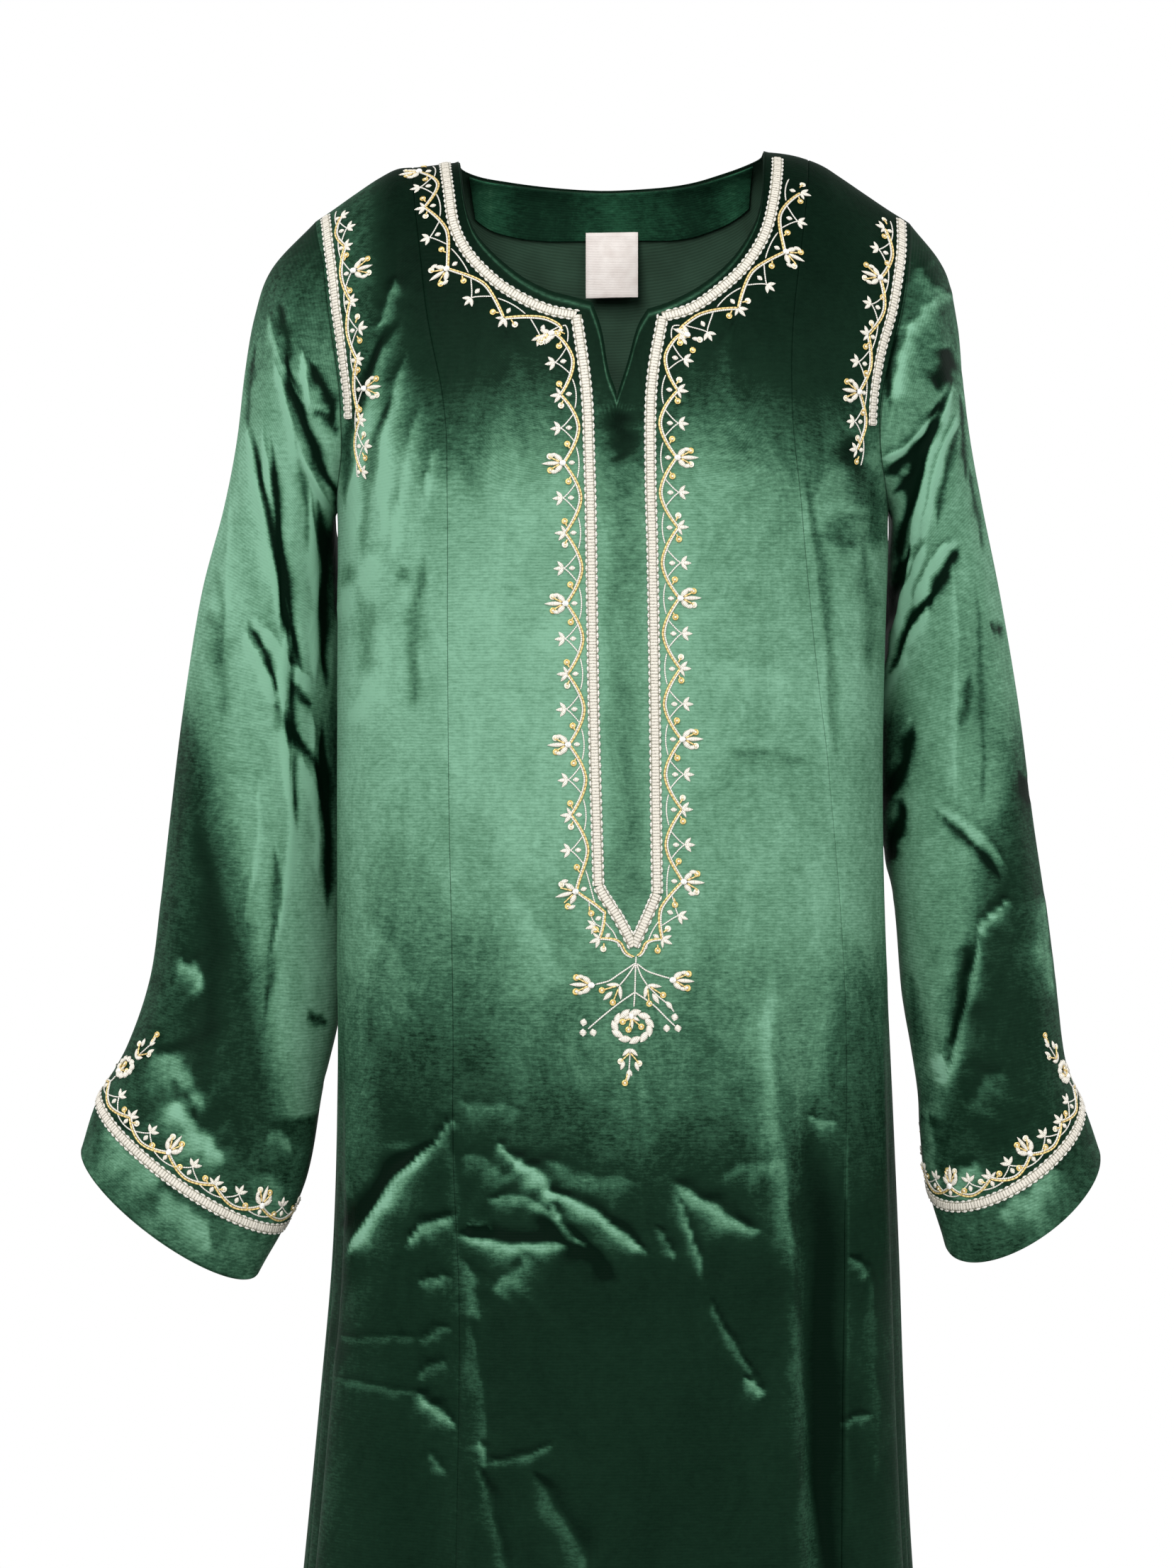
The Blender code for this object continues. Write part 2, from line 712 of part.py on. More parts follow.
centre_n = grid_normals(centre)
left_n = grid_normals(left_front)
right_n = grid_normals(right_front)
back_n = -grid_normals(back)
share(left_n[:, -1], centre_n[:, 0])
share(centre_n[:, -1], right_n[:, 0])
share(left_n[UPPER_ROWS:, 0], back_n[UPPER_ROWS:, 0])
share(right_n[UPPER_ROWS:, -1], back_n[UPPER_ROWS:, -1])
share(left_n[0], back_n[0, : SIDE_COLUMNS + 1])
share(right_n[0], back_n[0, -SIDE_COLUMNS - 1 :])
share(centre_n[0, :2], back_n[0, SIDE_COLUMNS : SIDE_COLUMNS + 2])
share(centre_n[0, -2:], back_n[0, -SIDE_COLUMNS - 2 : -SIDE_COLUMNS])
left_n[0, -1] = centre_n[0, 0]
right_n[0, 0] = centre_n[0, -1]


def armhole_ring(front, front_n, edge):
    """Points, wall normals and outward directions round one armhole."""
    rows = range(UPPER_ROWS + 1)
    inside = 1 if edge == 0 else -2
    points = [front[i, edge] for i in rows]
    normals = [front_n[i, edge] for i in rows]
    outward = [unit(front[i, edge] - front[i, inside]) for i in rows]
    for i in range(UPPER_ROWS - 1, 0, -1):
        points.append(back[i, edge])
        normals.append(back_n[i, edge])
        outward.append(unit(back[i, edge] - back[i, inside]))
    outward[UPPER_ROWS] = np.array((0.0, 0.0, 1.0))
    return np.array(points), np.array(normals), np.array(outward)


def sleeve(table, front, front_n, edge, sign):
    points, normals, outward = armhole_ring(front, front_n, edge)
    rough = sleeve_grid(table, points)
    along = unit(np.roll(points, -1, axis=0) - np.roll(points, 1, axis=0))
    leaving = rough[1] - rough[0]
    leaving = unit(leaving - along * np.sum(leaving * along, axis=1)[:, None])
    rise = np.sum(leaving * normals, axis=1)
    turn_cos = np.clip(np.sum(leaving * outward, axis=1), -1, 1)
    folded = rise > 0
    lap = np.where(folded, CLOTH / 2 * (1 - turn_cos) + LAP_GAP, 0.0)
    start = points + outward * 2 * SEAM_HALF_GAP + normals * lap[:, None]
    grid = sleeve_grid(table, start)
    grid_n = grid_normals(grid, closed=True) * sign
    grid_n[0] = np.where(folded[:, None], grid_n[0], normals)
    return grid, grid_n


left_sleeve, left_sleeve_n = sleeve(LEFT_SLEEVE, left_front, left_n, 0, 1)
right_sleeve, right_sleeve_n = sleeve(RIGHT_SLEEVE, right_front, right_n, -1, -1)

for grid, seam_columns in ((centre, (0, -1)), (left_front, (-1,)), (right_front, (0,))):
    for column in seam_columns:
        beside = 1 if column == 0 else -2
        trim_edge(grid, np.s_[:, column], np.s_[:, beside])
for grid, column in ((left_front, 0), (right_front, -1), (back, 0), (back, -1)):
    beside = 1 if column == 0 else -2
    trim_edge(grid, np.s_[UPPER_ROWS:, column], np.s_[UPPER_ROWS:, beside])
trim_edge(left_front, np.s_[0, :], np.s_[1, :])
trim_edge(right_front, np.s_[0, :], np.s_[1, :])
trim_edge(back, np.s_[0, :], np.s_[1, :])
for column in (0, 1, -2, -1):
    trim_edge(centre, np.s_[0, column], np.s_[1, column])


for name, grid, grid_n, closed in (
    ("centre_front", centre, centre_n, False),
    ("left_side_front", left_front, left_n, False),
    ("right_side_front", right_front, right_n, False),
    ("back", back, back_n, False),
    ("left_sleeve", left_sleeve, left_sleeve_n, True),
    ("right_sleeve", right_sleeve, right_sleeve_n, True),
):
    points, faces = wall(grid, grid_n, CLOTH, closed)
    place(name, points, faces, VELVET)

# a cuff braid is a band round the sleeve, between the two rows set for it
for name, grid, grid_n in (
    ("left_cuff_braid", left_sleeve, left_sleeve_n),
    ("right_cuff_braid", right_sleeve, right_sleeve_n),
):
    band_n = grid_n[-4:-2]
    band = grid[-4:-2] + band_n * (CLOTH / 2 + BRAID_LIFT + BRAID_THICKNESS / 2)
    points, faces = wall(band, band_n, BRAID_THICKNESS, closed=True)
    place(name, points, faces, SILVER)

for name, rows, corners in (
    ("neck_placket_braid", NECK_BRAID, BRAID_CORNERS),
    ("left_armhole_braid", LEFT_ARMHOLE_BRAID, ()),
    ("right_armhole_braid", RIGHT_ARMHOLE_BRAID, ()),
):
    points, faces = front_braid(rows, corners)
    place(name, points, faces, SILVER)

# the facing follows the inside of the back from the neck edge down
neck_columns = slice(SIDE_COLUMNS + 2, -SIDE_COLUMNS - 2)
near = back[:3, neck_columns]
near_n = back_n[:3, neck_columns]
first_run = np.linalg.norm(near[1] - near[0], axis=1)
second_run = np.linalg.norm(near[2] - near[1], axis=1)
cut = ((FACING_DEPTH - first_run) / second_run)[:, None]
facing = np.stack((near[0], near[1], near[1] * (1 - cut) + near[2] * cut))
facing_n = np.stack((near_n[0], near_n[1], unit(near_n[1] * (1 - cut) + near_n[2] * cut)))
inset = CLOTH / 2 + FACING_LIFT + FACING_THICKNESS / 2
facing = facing - facing_n * inset
points, faces = wall(facing, facing_n, FACING_THICKNESS)
place("back_neck_facing", points, faces, BACKING)

# the label is sewn to the lower edge of the facing and hangs in front of the back
label_x = LABEL_MIDDLE + np.linspace(-LABEL_WIDTH / 2, LABEL_WIDTH / 2, 4)
stitched = facing[1] * LABEL_OVERLAP + facing[2] * (1 - LABEL_OVERLAP)
stitched_n = unit(facing_n[1] * LABEL_OVERLAP + facing_n[2] * (1 - LABEL_OVERLAP))
stand_off = FACING_THICKNESS / 2 + 2 * SEAM_HALF_GAP + LABEL_THICKNESS / 2
stitched = stitched - stitched_n * stand_off
label_y = np.interp(label_x, stitched[:, 0], stitched[:, 1])
label_z = np.interp(label_x, stitched[:, 0], stitched[:, 2])
label_rows = []
for drop in (0.0, LABEL_HEIGHT / 2, LABEL_HEIGHT):
    label_rows.append(np.stack((label_x, label_y, label_z - drop), axis=-1))
label = np.stack(label_rows)
points, faces = wall(label, grid_normals(label), LABEL_THICKNESS)
place("label", points, faces, SATIN)
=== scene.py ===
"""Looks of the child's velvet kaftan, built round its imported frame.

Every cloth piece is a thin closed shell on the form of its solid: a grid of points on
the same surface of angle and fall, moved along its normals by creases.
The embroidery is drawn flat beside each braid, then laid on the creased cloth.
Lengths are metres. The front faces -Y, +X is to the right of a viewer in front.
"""

import math

import bpy
import numpy as np
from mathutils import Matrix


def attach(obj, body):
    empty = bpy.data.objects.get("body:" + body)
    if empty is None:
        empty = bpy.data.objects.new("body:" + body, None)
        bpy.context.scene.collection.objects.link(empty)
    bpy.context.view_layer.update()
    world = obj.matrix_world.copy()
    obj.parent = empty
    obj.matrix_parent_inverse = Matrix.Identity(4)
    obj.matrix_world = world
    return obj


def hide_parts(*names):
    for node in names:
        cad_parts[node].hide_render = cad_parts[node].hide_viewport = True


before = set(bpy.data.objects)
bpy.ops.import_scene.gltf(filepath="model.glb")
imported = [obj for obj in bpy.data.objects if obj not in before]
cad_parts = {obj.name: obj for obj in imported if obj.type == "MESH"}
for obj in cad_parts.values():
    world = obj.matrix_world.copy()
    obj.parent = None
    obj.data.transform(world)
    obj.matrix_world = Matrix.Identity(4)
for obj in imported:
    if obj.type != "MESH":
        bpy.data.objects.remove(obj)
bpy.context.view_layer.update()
MM = 0.001

# The form, as in the source of the solids.
SHELL = 0.0015
SEAM_HALF_GAP = 0.00015
TURN_RADIUS = 0.2
SQUARENESS = 2.3
HEM_DEPTH = 1.22
ARMPIT_DEPTH = 0.205
ARMHOLE_TOP = -0.0366
UPPER_ROWS = 120
SIDE_COLUMNS = 44
SLEEVE_ROWS = 196
# passes that settle a place whose height depends on itself
SETTLING = 30
# fall below the shoulder line over which creases and crinkles grow in
CREASE_FADE = 0.07
# depth below the ridge down to which so many more rows go: finest where creases lie
ROW_ZONES = ((0.53, 84), (0.77, 150), (0.86, 24), (HEM_DEPTH, 44))

# depth below the ridge, half width on the left, half width on the right
HALF_WIDTHS = np.array((
    (0.00, 0.2000, 0.2010), (0.04, 0.1970, 0.1985), (0.08, 0.1890, 0.1910),
    (0.12, 0.1780, 0.1805), (0.15, 0.1705, 0.1730), (0.18, 0.1640, 0.1670),
    (0.205, 0.1592, 0.1628), (0.23, 0.1588, 0.1622), (0.28, 0.1590, 0.1605),
    (0.366, 0.1592, 0.1590), (0.458, 0.1592, 0.1608), (0.541, 0.1596, 0.1651),
    (0.642, 0.1624, 0.1693), (0.734, 0.1700, 0.1722), (0.826, 0.1785, 0.1766),
    (1.00, 0.1960, 0.1935), (1.22, 0.2150, 0.2140),
))
# depth, half depth of the front, half depth of the back
HALF_DEPTHS = np.array((
    (0.00, 0.098, 0.094), (0.10, 0.099, 0.095), (0.20, 0.101, 0.094), (0.30, 0.099, 0.089),
    (0.40, 0.099, 0.091), (0.50, 0.103, 0.101), (0.65, 0.112, 0.114), (0.80, 0.124, 0.125),
    (1.22, 0.160, 0.158),
))
# distance from the middle, height of the shoulder line on the left and on the right
RIDGE = np.array((
    (0.0000, 0.0000, 0.0000), (0.0500, 0.0000, 0.0000), (0.0895, -0.0026, 0.0036),
    (0.1120, -0.0053, 0.0002), (0.1250, -0.0066, -0.0050), (0.1342, -0.0113, -0.0110),
    (0.1486, -0.0208, -0.0208), (0.1645, -0.0320, -0.0314), (0.1730, -0.0376, -0.0366),
    (0.1900, -0.0500, -0.0480),
))
# sideways place and height of the cut front neckline, from left to right
NECKLINE = np.array((
    (-0.0889, -0.0026), (-0.0870, -0.0120), (-0.0845, -0.0300), (-0.0792, -0.0477),
    (-0.0682, -0.0622), (-0.0520, -0.0764), (-0.0359, -0.0853), (-0.0227, -0.0891),
    (-0.0110, -0.0925), (-0.0058, -0.1084), (-0.0022, -0.1302), (0.0035, -0.1482),
    (0.0104, -0.1261), (0.0156, -0.1070), (0.0212, -0.0966), (0.0348, -0.0918),
    (0.0523, -0.0820), (0.0686, -0.0678), (0.0796, -0.0520), (0.0862, -0.0360),
    (0.0887, -0.0163), (0.0902, 0.0036),
))
NECK_CORNERS = (0, 8, 11, 14, 21)
NECK_STEPS = (26, 13, 13, 26)
# sideways place and fall of the back neckline below the ridge
BACK_NECKLINE = np.array((
    (-0.0889, 0.0000), (-0.0862, 0.0009), (-0.0780, 0.0032), (-0.0620, 0.0058),
    (-0.0420, 0.0081), (-0.0200, 0.0093), (0.0000, 0.0096), (0.0200, 0.0087),
    (0.0420, 0.0072), (0.0620, 0.0049), (0.0790, 0.0026), (0.0875, 0.0007),
    (0.0902, 0.0000),
))
# height, sideways place of the left and of the right armhole edge
ARMHOLE = np.array((
    (-0.2050, -0.1592, 0.1628), (-0.1895, -0.1572, 0.1588), (-0.1758, -0.1552, 0.1556),
    (-0.1581, -0.1548, 0.1545), (-0.1404, -0.1556, 0.1562), (-0.1223, -0.1580, 0.1600),
    (-0.0951, -0.1622, 0.1668), (-0.0628, -0.1664, 0.1722), (-0.0366, -0.1715, 0.1745),
    (-0.0300, -0.1720, 0.1750),
))
# height, sideways place of the two long front seams
FRONT_SEAMS = np.array((
    (-1.220, -0.0950, 0.1480), (-0.810, -0.0868, 0.1330), (-0.632, -0.0869, 0.1335),
    (-0.588, -0.0890, 0.1340), (-0.499, -0.0894, 0.1345), (-0.366, -0.0920, 0.1252),
    (-0.277, -0.0926, 0.1150), (-0.200, -0.0928, 0.1076), (-0.158, -0.0940, 0.1035),
    (-0.138, -0.0967, 0.1030), (-0.119, -0.1008, 0.1032), (-0.093, -0.1055, 0.1050),
    (-0.067, -0.1085, 0.1082), (-0.030, -0.1130, 0.1130), (0.010, -0.1170, 0.1170),
))
# angle round the body and spread in degrees, reach at the hem, depth where it starts
FLUTES = (
    (-150, 14, 0.016, 0.50),
    (-124, 12, -0.014, 0.50),
    (-101, 11, 0.006, 0.50),
    (-81, 8, -0.020, 0.48),
    (-63, 9, 0.008, 0.48),
    (-34, 9, -0.012, 0.55),
    (-20, 7, 0.014, 0.55),
    (6, 14, -0.008, 0.55),
    (31, 6, 0.014, 0.45),
    (41, 5, -0.018, 0.45),
    (64, 9, 0.008, 0.48),
    (81, 8, -0.020, 0.48),
    (101, 11, 0.006, 0.50),
    (126, 12, -0.014, 0.50),
    (150, 14, 0.016, 0.50),
    (180, 12, -0.016, 0.50),
)
# outer x, outer z, inner x, inner z, inner y, half depth, middle y, front drop
LEFT_SLEEVE = np.array((
    (-0.1715, -0.037, -0.1592, -0.205, 0.000, 0.047, 0.000, 0.000),
    (-0.1973, -0.064, -0.1612, -0.209, 0.006, 0.052, 0.004, 0.000),
    (-0.2077, -0.091, -0.1614, -0.215, 0.015, 0.055, 0.008, 0.000),
    (-0.2139, -0.124, -0.1610, -0.224, 0.024, 0.056, 0.011, 0.000),
    (-0.2190, -0.165, -0.1600, -0.238, 0.032, 0.056, 0.013, 0.000),
    (-0.2270, -0.205, -0.1588, -0.260, 0.036, 0.054, 0.014, 0.000),
    (-0.2400, -0.255, -0.1578, -0.295, 0.038, 0.052, 0.014, 0.000),
    (-0.2507, -0.322, -0.1568, -0.340, 0.038, 0.049, 0.014, 0.000),
    (-0.2587, -0.388, -0.1570, -0.395, 0.038, 0.046, 0.014, 0.002),
    (-0.2640, -0.435, -0.1578, -0.445, 0.036, 0.044, 0.013, 0.004),
    (-0.2700, -0.480, -0.1600, -0.497, 0.030, 0.042, 0.010, 0.007),
    (-0.2830, -0.520, -0.1700, -0.545, 0.018, 0.040, 0.004, 0.010),
    (-0.3000, -0.552, -0.1800, -0.600, 0.004, 0.036, -0.003, 0.014),
    (-0.3087, -0.580, -0.2060, -0.650, -0.004, 0.034, -0.008, 0.017),
))
RIGHT_SLEEVE = np.array((
    (0.1745, -0.038, 0.1628, -0.205, 0.000, 0.047, 0.000, 0.000),
    (0.1948, -0.064, 0.1652, -0.211, 0.006, 0.052, 0.004, 0.000),
    (0.2030, -0.095, 0.1655, -0.217, 0.015, 0.055, 0.008, 0.000),
    (0.2065, -0.127, 0.1650, -0.226, 0.024, 0.056, 0.011, 0.000),
    (0.2115, -0.165, 0.1638, -0.240, 0.032, 0.056, 0.013, 0.000),
    (0.2190, -0.205, 0.1620, -0.262, 0.036, 0.054, 0.014, 0.000),
    (0.2295, -0.257, 0.1605, -0.295, 0.037, 0.052, 0.014, 0.000),
    (0.2400, -0.320, 0.1598, -0.340, 0.036, 0.049, 0.013, 0.000),
    (0.2480, -0.385, 0.1615, -0.395, 0.030, 0.046, 0.010, 0.003),
    (0.2550, -0.435, 0.1690, -0.440, 0.020, 0.044, 0.006, 0.006),
    (0.2610, -0.484, 0.1728, -0.491, 0.012, 0.042, 0.002, 0.010),
    (0.2668, -0.530, 0.1800, -0.540, 0.006, 0.040, -0.002, 0.014),
    (0.2790, -0.561, 0.1845, -0.590, 0.000, 0.036, -0.005, 0.019),
    (0.2861, -0.583, 0.1967, -0.6335, -0.004, 0.034, -0.008, 0.024),
))
# middle line of the braid round the neck and down both sides of the front opening
NECK_BRAID = np.array((
    (-0.0965, -0.0045), (-0.0952, -0.0120), (-0.0930, -0.0260), (-0.0894, -0.0466),
    (-0.0810, -0.0634), (-0.0665, -0.0790), (-0.0508, -0.0898), (-0.0352, -0.0969),
    (-0.0196, -0.1001), (-0.0138, -0.1442), (-0.0120, -0.1889), (-0.0098, -0.3217),
    (-0.0071, -0.4236), (0.0128, -0.4577), (0.0261, -0.4281), (0.0248, -0.3217),
    (0.0234, -0.2331), (0.0226, -0.1486), (0.0294, -0.1010), (0.0450, -0.0963),
    (0.0608, -0.0856), (0.0766, -0.0705), (0.0882, -0.0514), (0.0940, -0.0295),
    (0.0965, -0.0120), (0.0972, -0.0030),
))
BRAID_CORNERS = (8, 12, 13, 14, 18)
LEFT_ARMHOLE_BRAID = np.array((
    (-0.1655, -0.0360), (-0.1612, -0.0628), (-0.1570, -0.0951), (-0.1532, -0.1223),
    (-0.1508, -0.1420), (-0.1500, -0.1560),
))
RIGHT_ARMHOLE_BRAID = np.array((
    (0.1690, -0.0380), (0.1668, -0.0660), (0.1616, -0.0944), (0.1550, -0.1174),
    (0.1510, -0.1404), (0.1497, -0.1600),
))
BRAID_WIDTH = 0.0073
BRAID_ROW = 0.00045
DASH_PITCH = 0.00405
CUFF_BRAID_FROM_EDGE = 0.033
FACING_DEPTH = 0.0305
LABEL_MIDDLE = 0.0015
LABEL_WIDTH = 0.031
LABEL_HEIGHT = 0.039

# Creases, in millimetres seen from the front: start x and z, end x and z, bow to the
# left of the way, half width, height of the ridge, and the strength of its painted
# highlight, negative for painted shade.
FRONT_CREASES = (
    (-90, -554, -102, -573, 1, 2.0, 1.0, 0.45),
    (-101, -570, -150, -635, -3, 3.6, 3.2, 0.95),
    (-112, -571, -156, -622, -2, 5.0, -1.6, -0.25),
    (-87, -611, -116, -628, -4, 3.0, 1.6, 0.65),
    (-86, -622, -24, -626, -1, 3.6, 2.2, 0.85),
    (-81, -617, -66, -619, 0, 2.2, -1.8, -0.80),
    (-44, -632, -66, -652, 0, 6.0, 0.7, 0.42),
    (-84, -634, -76, -668, 3, 5.0, 0.5, 0.34),
    (-64, -568, -52, -581, 0, 2.2, 1.0, 0.65),
    (-54, -576, -31, -600, 2, 5.0, 2.0, 0.85),
    (-36, -594, 20, -630, 3, 3.0, 2.2, 0.75),
    (-34, -600, -13, -627, -3, 2.0, 1.6, 0.55),
    (-46, -606, 2, -642, 3, 5.0, -2.0, -0.30),
    (-70, -600, -32, -609, 5, 3.0, 1.0, 0.40),
    (-84, -576, -56, -590, 2, 6.0, 0.5, 0.26),
    (-40, -577, 12, -590, -4, 6.0, 0.5, 0.28),
    (-86, -547, -50, -550, 0, 4.5, 0.3, 0.24),
    (36, -589, 84, -618, -3, 4.2, 1.6, 0.60),
    (62, -588, 99, -581, 3, 5.0, 0.5, 0.28),
    (36, -597, 52, -647, 2, 1.8, 1.2, 0.42),
    (56, -656, 82, -700, -2, 1.8, 0.9, 0.28),
    (75, -700, 87, -709, 0, 3.0, 1.0, 0.60),
    (25, -615, 36, -634, 1, 1.8, 0.9, 0.34),
    (90, -470, 103, -640, -4, 7.0, 1.6, 0.36),
    (103, -640, 121, -830, -3, 5.0, 1.2, 0.12),
    (114, -520, 122, -830, 2, 8.0, -3.0, -0.20),
    (112, -556, 129, -560, 0, 2.6, 0.6, 0.40),
    (135, -636, 145, -649, 3, 2.2, 1.0, 0.34),
    (131, -730, 149, -726, 1, 1.8, 0.7, 0.34),
    (134, -560, 134, -800, 0, 1.5, 0.6, 0.16),
    (146, -640, 150, -760, 3, 4.0, 1.2, 0.12),
    (-110, -710, -86, -727, -1, 3.0, 1.4, 0.65),
    (-110, -703, -92, -692, 2, 2.0, 0.7, 0.22),
    (-109, -650, -90, -645, 1, 2.6, 0.7, 0.40),
    (-108, -683, -90, -673, 2, 2.2, 0.6, 0.26),
    (-158, -684, -108, -679, 0, 1.6, 0.4, 0.12),
    (-158, -707, -108, -711, 0, 1.6, 0.4, 0.14),
    (-102, -744, -93, -756, 0, 2.4, 0.6, 0.28),
    (-80, -668, -72, -745, 3, 4.0, 0.5, 0.20),
    (-72, -734, -70, -750, 0, 2.2, 0.8, 0.42),
    (-70, -747, -32, -736, -2, 1.8, 0.6, 0.26),
    (-76, -745, -60, -815, 3, 3.0, 1.4, 0.18),
    (-44, -753, -10, -822, 4, 4.5, 1.6, 0.20),
    (-92, -560, -86, -640, 2, 4.0, 1.0, 0.10),
    (-150, -600, -158, -700, 2, 5.0, -1.4, -0.05),
    (-123, -76, -134, -106, 2, 3.0, 1.2, 0.55),
    (-120, -102, -149, -226, -8, 4.5, 1.4, 0.42),
    (-128, -108, -153, -205, -7, 3.6, -1.0, -0.42),
    (-117, -122, -131, -226, -5, 4.0, 1.2, 0.50),
    (-124, -140, -141, -232, -6, 3.0, -1.4, -0.36),
    (-107, -150, -124, -240, -3, 3.0, 1.2, 0.30),
    (-99, -172, -106, -210, -1, 2.4, 1.2, 0.40),
    (-106, -232, -112, -324, -3, 3.6, -1.4, -0.42),
    (-116, -240, -120, -250, 0, 3.0, -0.8, -0.35),
    (-152, -236, -140, -300, 4, 6.0, -1.0, -0.30),
    (-158, -268, -130, -232, 3, 5.0, 1.6, 0.22),
    (-150, -330, -132, -300, 2, 5.0, 1.0, 0.12),
    (106, -178, 125, -366, 4, 2.6, 1.0, 0.14),
    (110, -186, 128, -350, 4, 3.2, -1.0, -0.26),
    (132, -208, 133, -232, 0, 9.0, -1.0, -0.42),
    (130, -165, 154, -230, 6, 9.0, -1.6, -0.50),
    (146, -226, 150, -300, 1, 4.0, -1.0, -0.34),
    (64, -347, 124, -356, 2, 1.8, -0.5, -0.20),
    (60, -300, 100, -308, 3, 6.0, 0.5, 0.10),
    (-60, -420, -30, -480, 3, 7.0, 0.6, 0.12),
    (-140, -440, -112, -500, 4, 7.0, 0.8, 0.14),
    (-56, -110, -70, -190, 3, 6.0, 0.9, 0.10),
    (66, -104, 74, -170, -3, 5.0, 0.8, 0.10),
    (3, -152, 6, -185, 1, 7.0, -0.9, -0.28),
)
# The sleeves' creases have the same columns; the last is the painted highlight, negative for
# painted shade.
LEFT_SLEEVE_CREASES = (
    (-198, -92, -176, -147, -3, 2.2, 1.4, 0.34),
    (-192, -86, -186, -124, 2, 2.6, -1.2, -0.35),
    (-187, -118, -157, -200, -4, 2.8, -2.6, -1.00),
    (-192, -122, -163, -206, -4, 2.6, 2.4, 0.50),
    (-178, -116, -174, -150, 1, 1.8, 1.6, 0.70),
    (-174, -122, -158, -158, 2, 2.8, -1.6, -0.80),
    (-171, -150, -157, -164, 2, 2.4, -1.2, -0.65),
    (-206, -108, -211, -160, -1, 1.8, -1.0, -0.35),
    (-212, -152, -192, -275, 2, 2.2, 2.2, 0.46),
    (-207, -165, -187, -285, 2, 2.6, -2.6, -1.00),
    (-200, -160, -185, -274, -2, 2.0, 2.0, 0.46),
    (-196, -168, -181, -300, -2, 2.6, -2.6, -0.95),
    (-185, -150, -176, -230, 3, 2.0, -1.0, -0.45),
    (-174, -196, -173, -306, 1, 1.8, 2.0, 0.50),
    (-169, -200, -168, -308, 1, 2.8, -2.2, -1.00),
    (-160, -192, -160, -270, -1, 3.0, -1.4, -0.85),
    (-214, -276, -196, -318, 2, 2.0, 2.0, 0.55),
    (-210, -272, -193, -314, 2, 1.8, -1.8, -0.90),
    (-208, -270, -188, -298, 3, 1.6, 1.4, 0.40),
    (-189, -270, -188, -376, -2, 1.8, 1.8, 0.46),
    (-184, -276, -183, -390, -2, 2.4, -1.8, -0.80),
    (-190, -296, -174, -308, 1, 2.0, 1.6, 0.60),
    (-186, -306, -176, -322, 1, 2.2, -1.4, -0.70),
    (-195, -316, -187, -344, 1, 3.0, -1.2, -0.60),
    (-186, -332, -167, -374, 2, 1.6, -1.2, -0.80),
    (-190, -336, -171, -380, 2, 1.6, 1.2, 0.30),
    (-176, -320, -172, -420, 1, 1.8, 1.4, 0.34),
    (-170, -330, -166, -440, 1, 2.6, -1.6, -0.85),
    (-234, -262, -228, -300, 2, 4.0, -0.8, -0.24),
    (-229, -238, -226, -330, 3, 3.0, -0.8, -0.20),
    (-222, -190, -226, -300, 2, 2.0, 0.8, 0.14),
    (-187, -318, -199, -476, 5, 2.2, 1.8, 0.30),
    (-205, -360, -214, -450, 3, 2.0, 1.0, 0.20),
    (-196, -400, -202, -500, 3, 2.4, -1.2, -0.40),
    (-178, -500, -167, -507, 0, 2.4, -1.2, -0.70),
    (-252, -468, -235, -484, 2, 5.5, 1.0, 0.60),
    (-264, -520, -236, -556, 4, 10.0, 1.6, 0.50),
    (-258, -552, -226, -586, 4, 8.0, 2.0, 0.66),
    (-256, -536, -240, -560, 2, 2.5, -1.2, -0.30),
    (-199, -568, -186, -580, 2, 3.2, 0.8, 0.40),
    (-204, -590, -190, -620, 3, 7.0, 0.8, 0.20),
    (-296, -565, -262, -600, 3, 10.0, 1.0, 0.46),
    (-262, -600, -228, -636, 3, 8.0, 1.0, 0.42),
    (-240, -380, -232, -520, 4, 6.0, -1.0, -0.10),
)
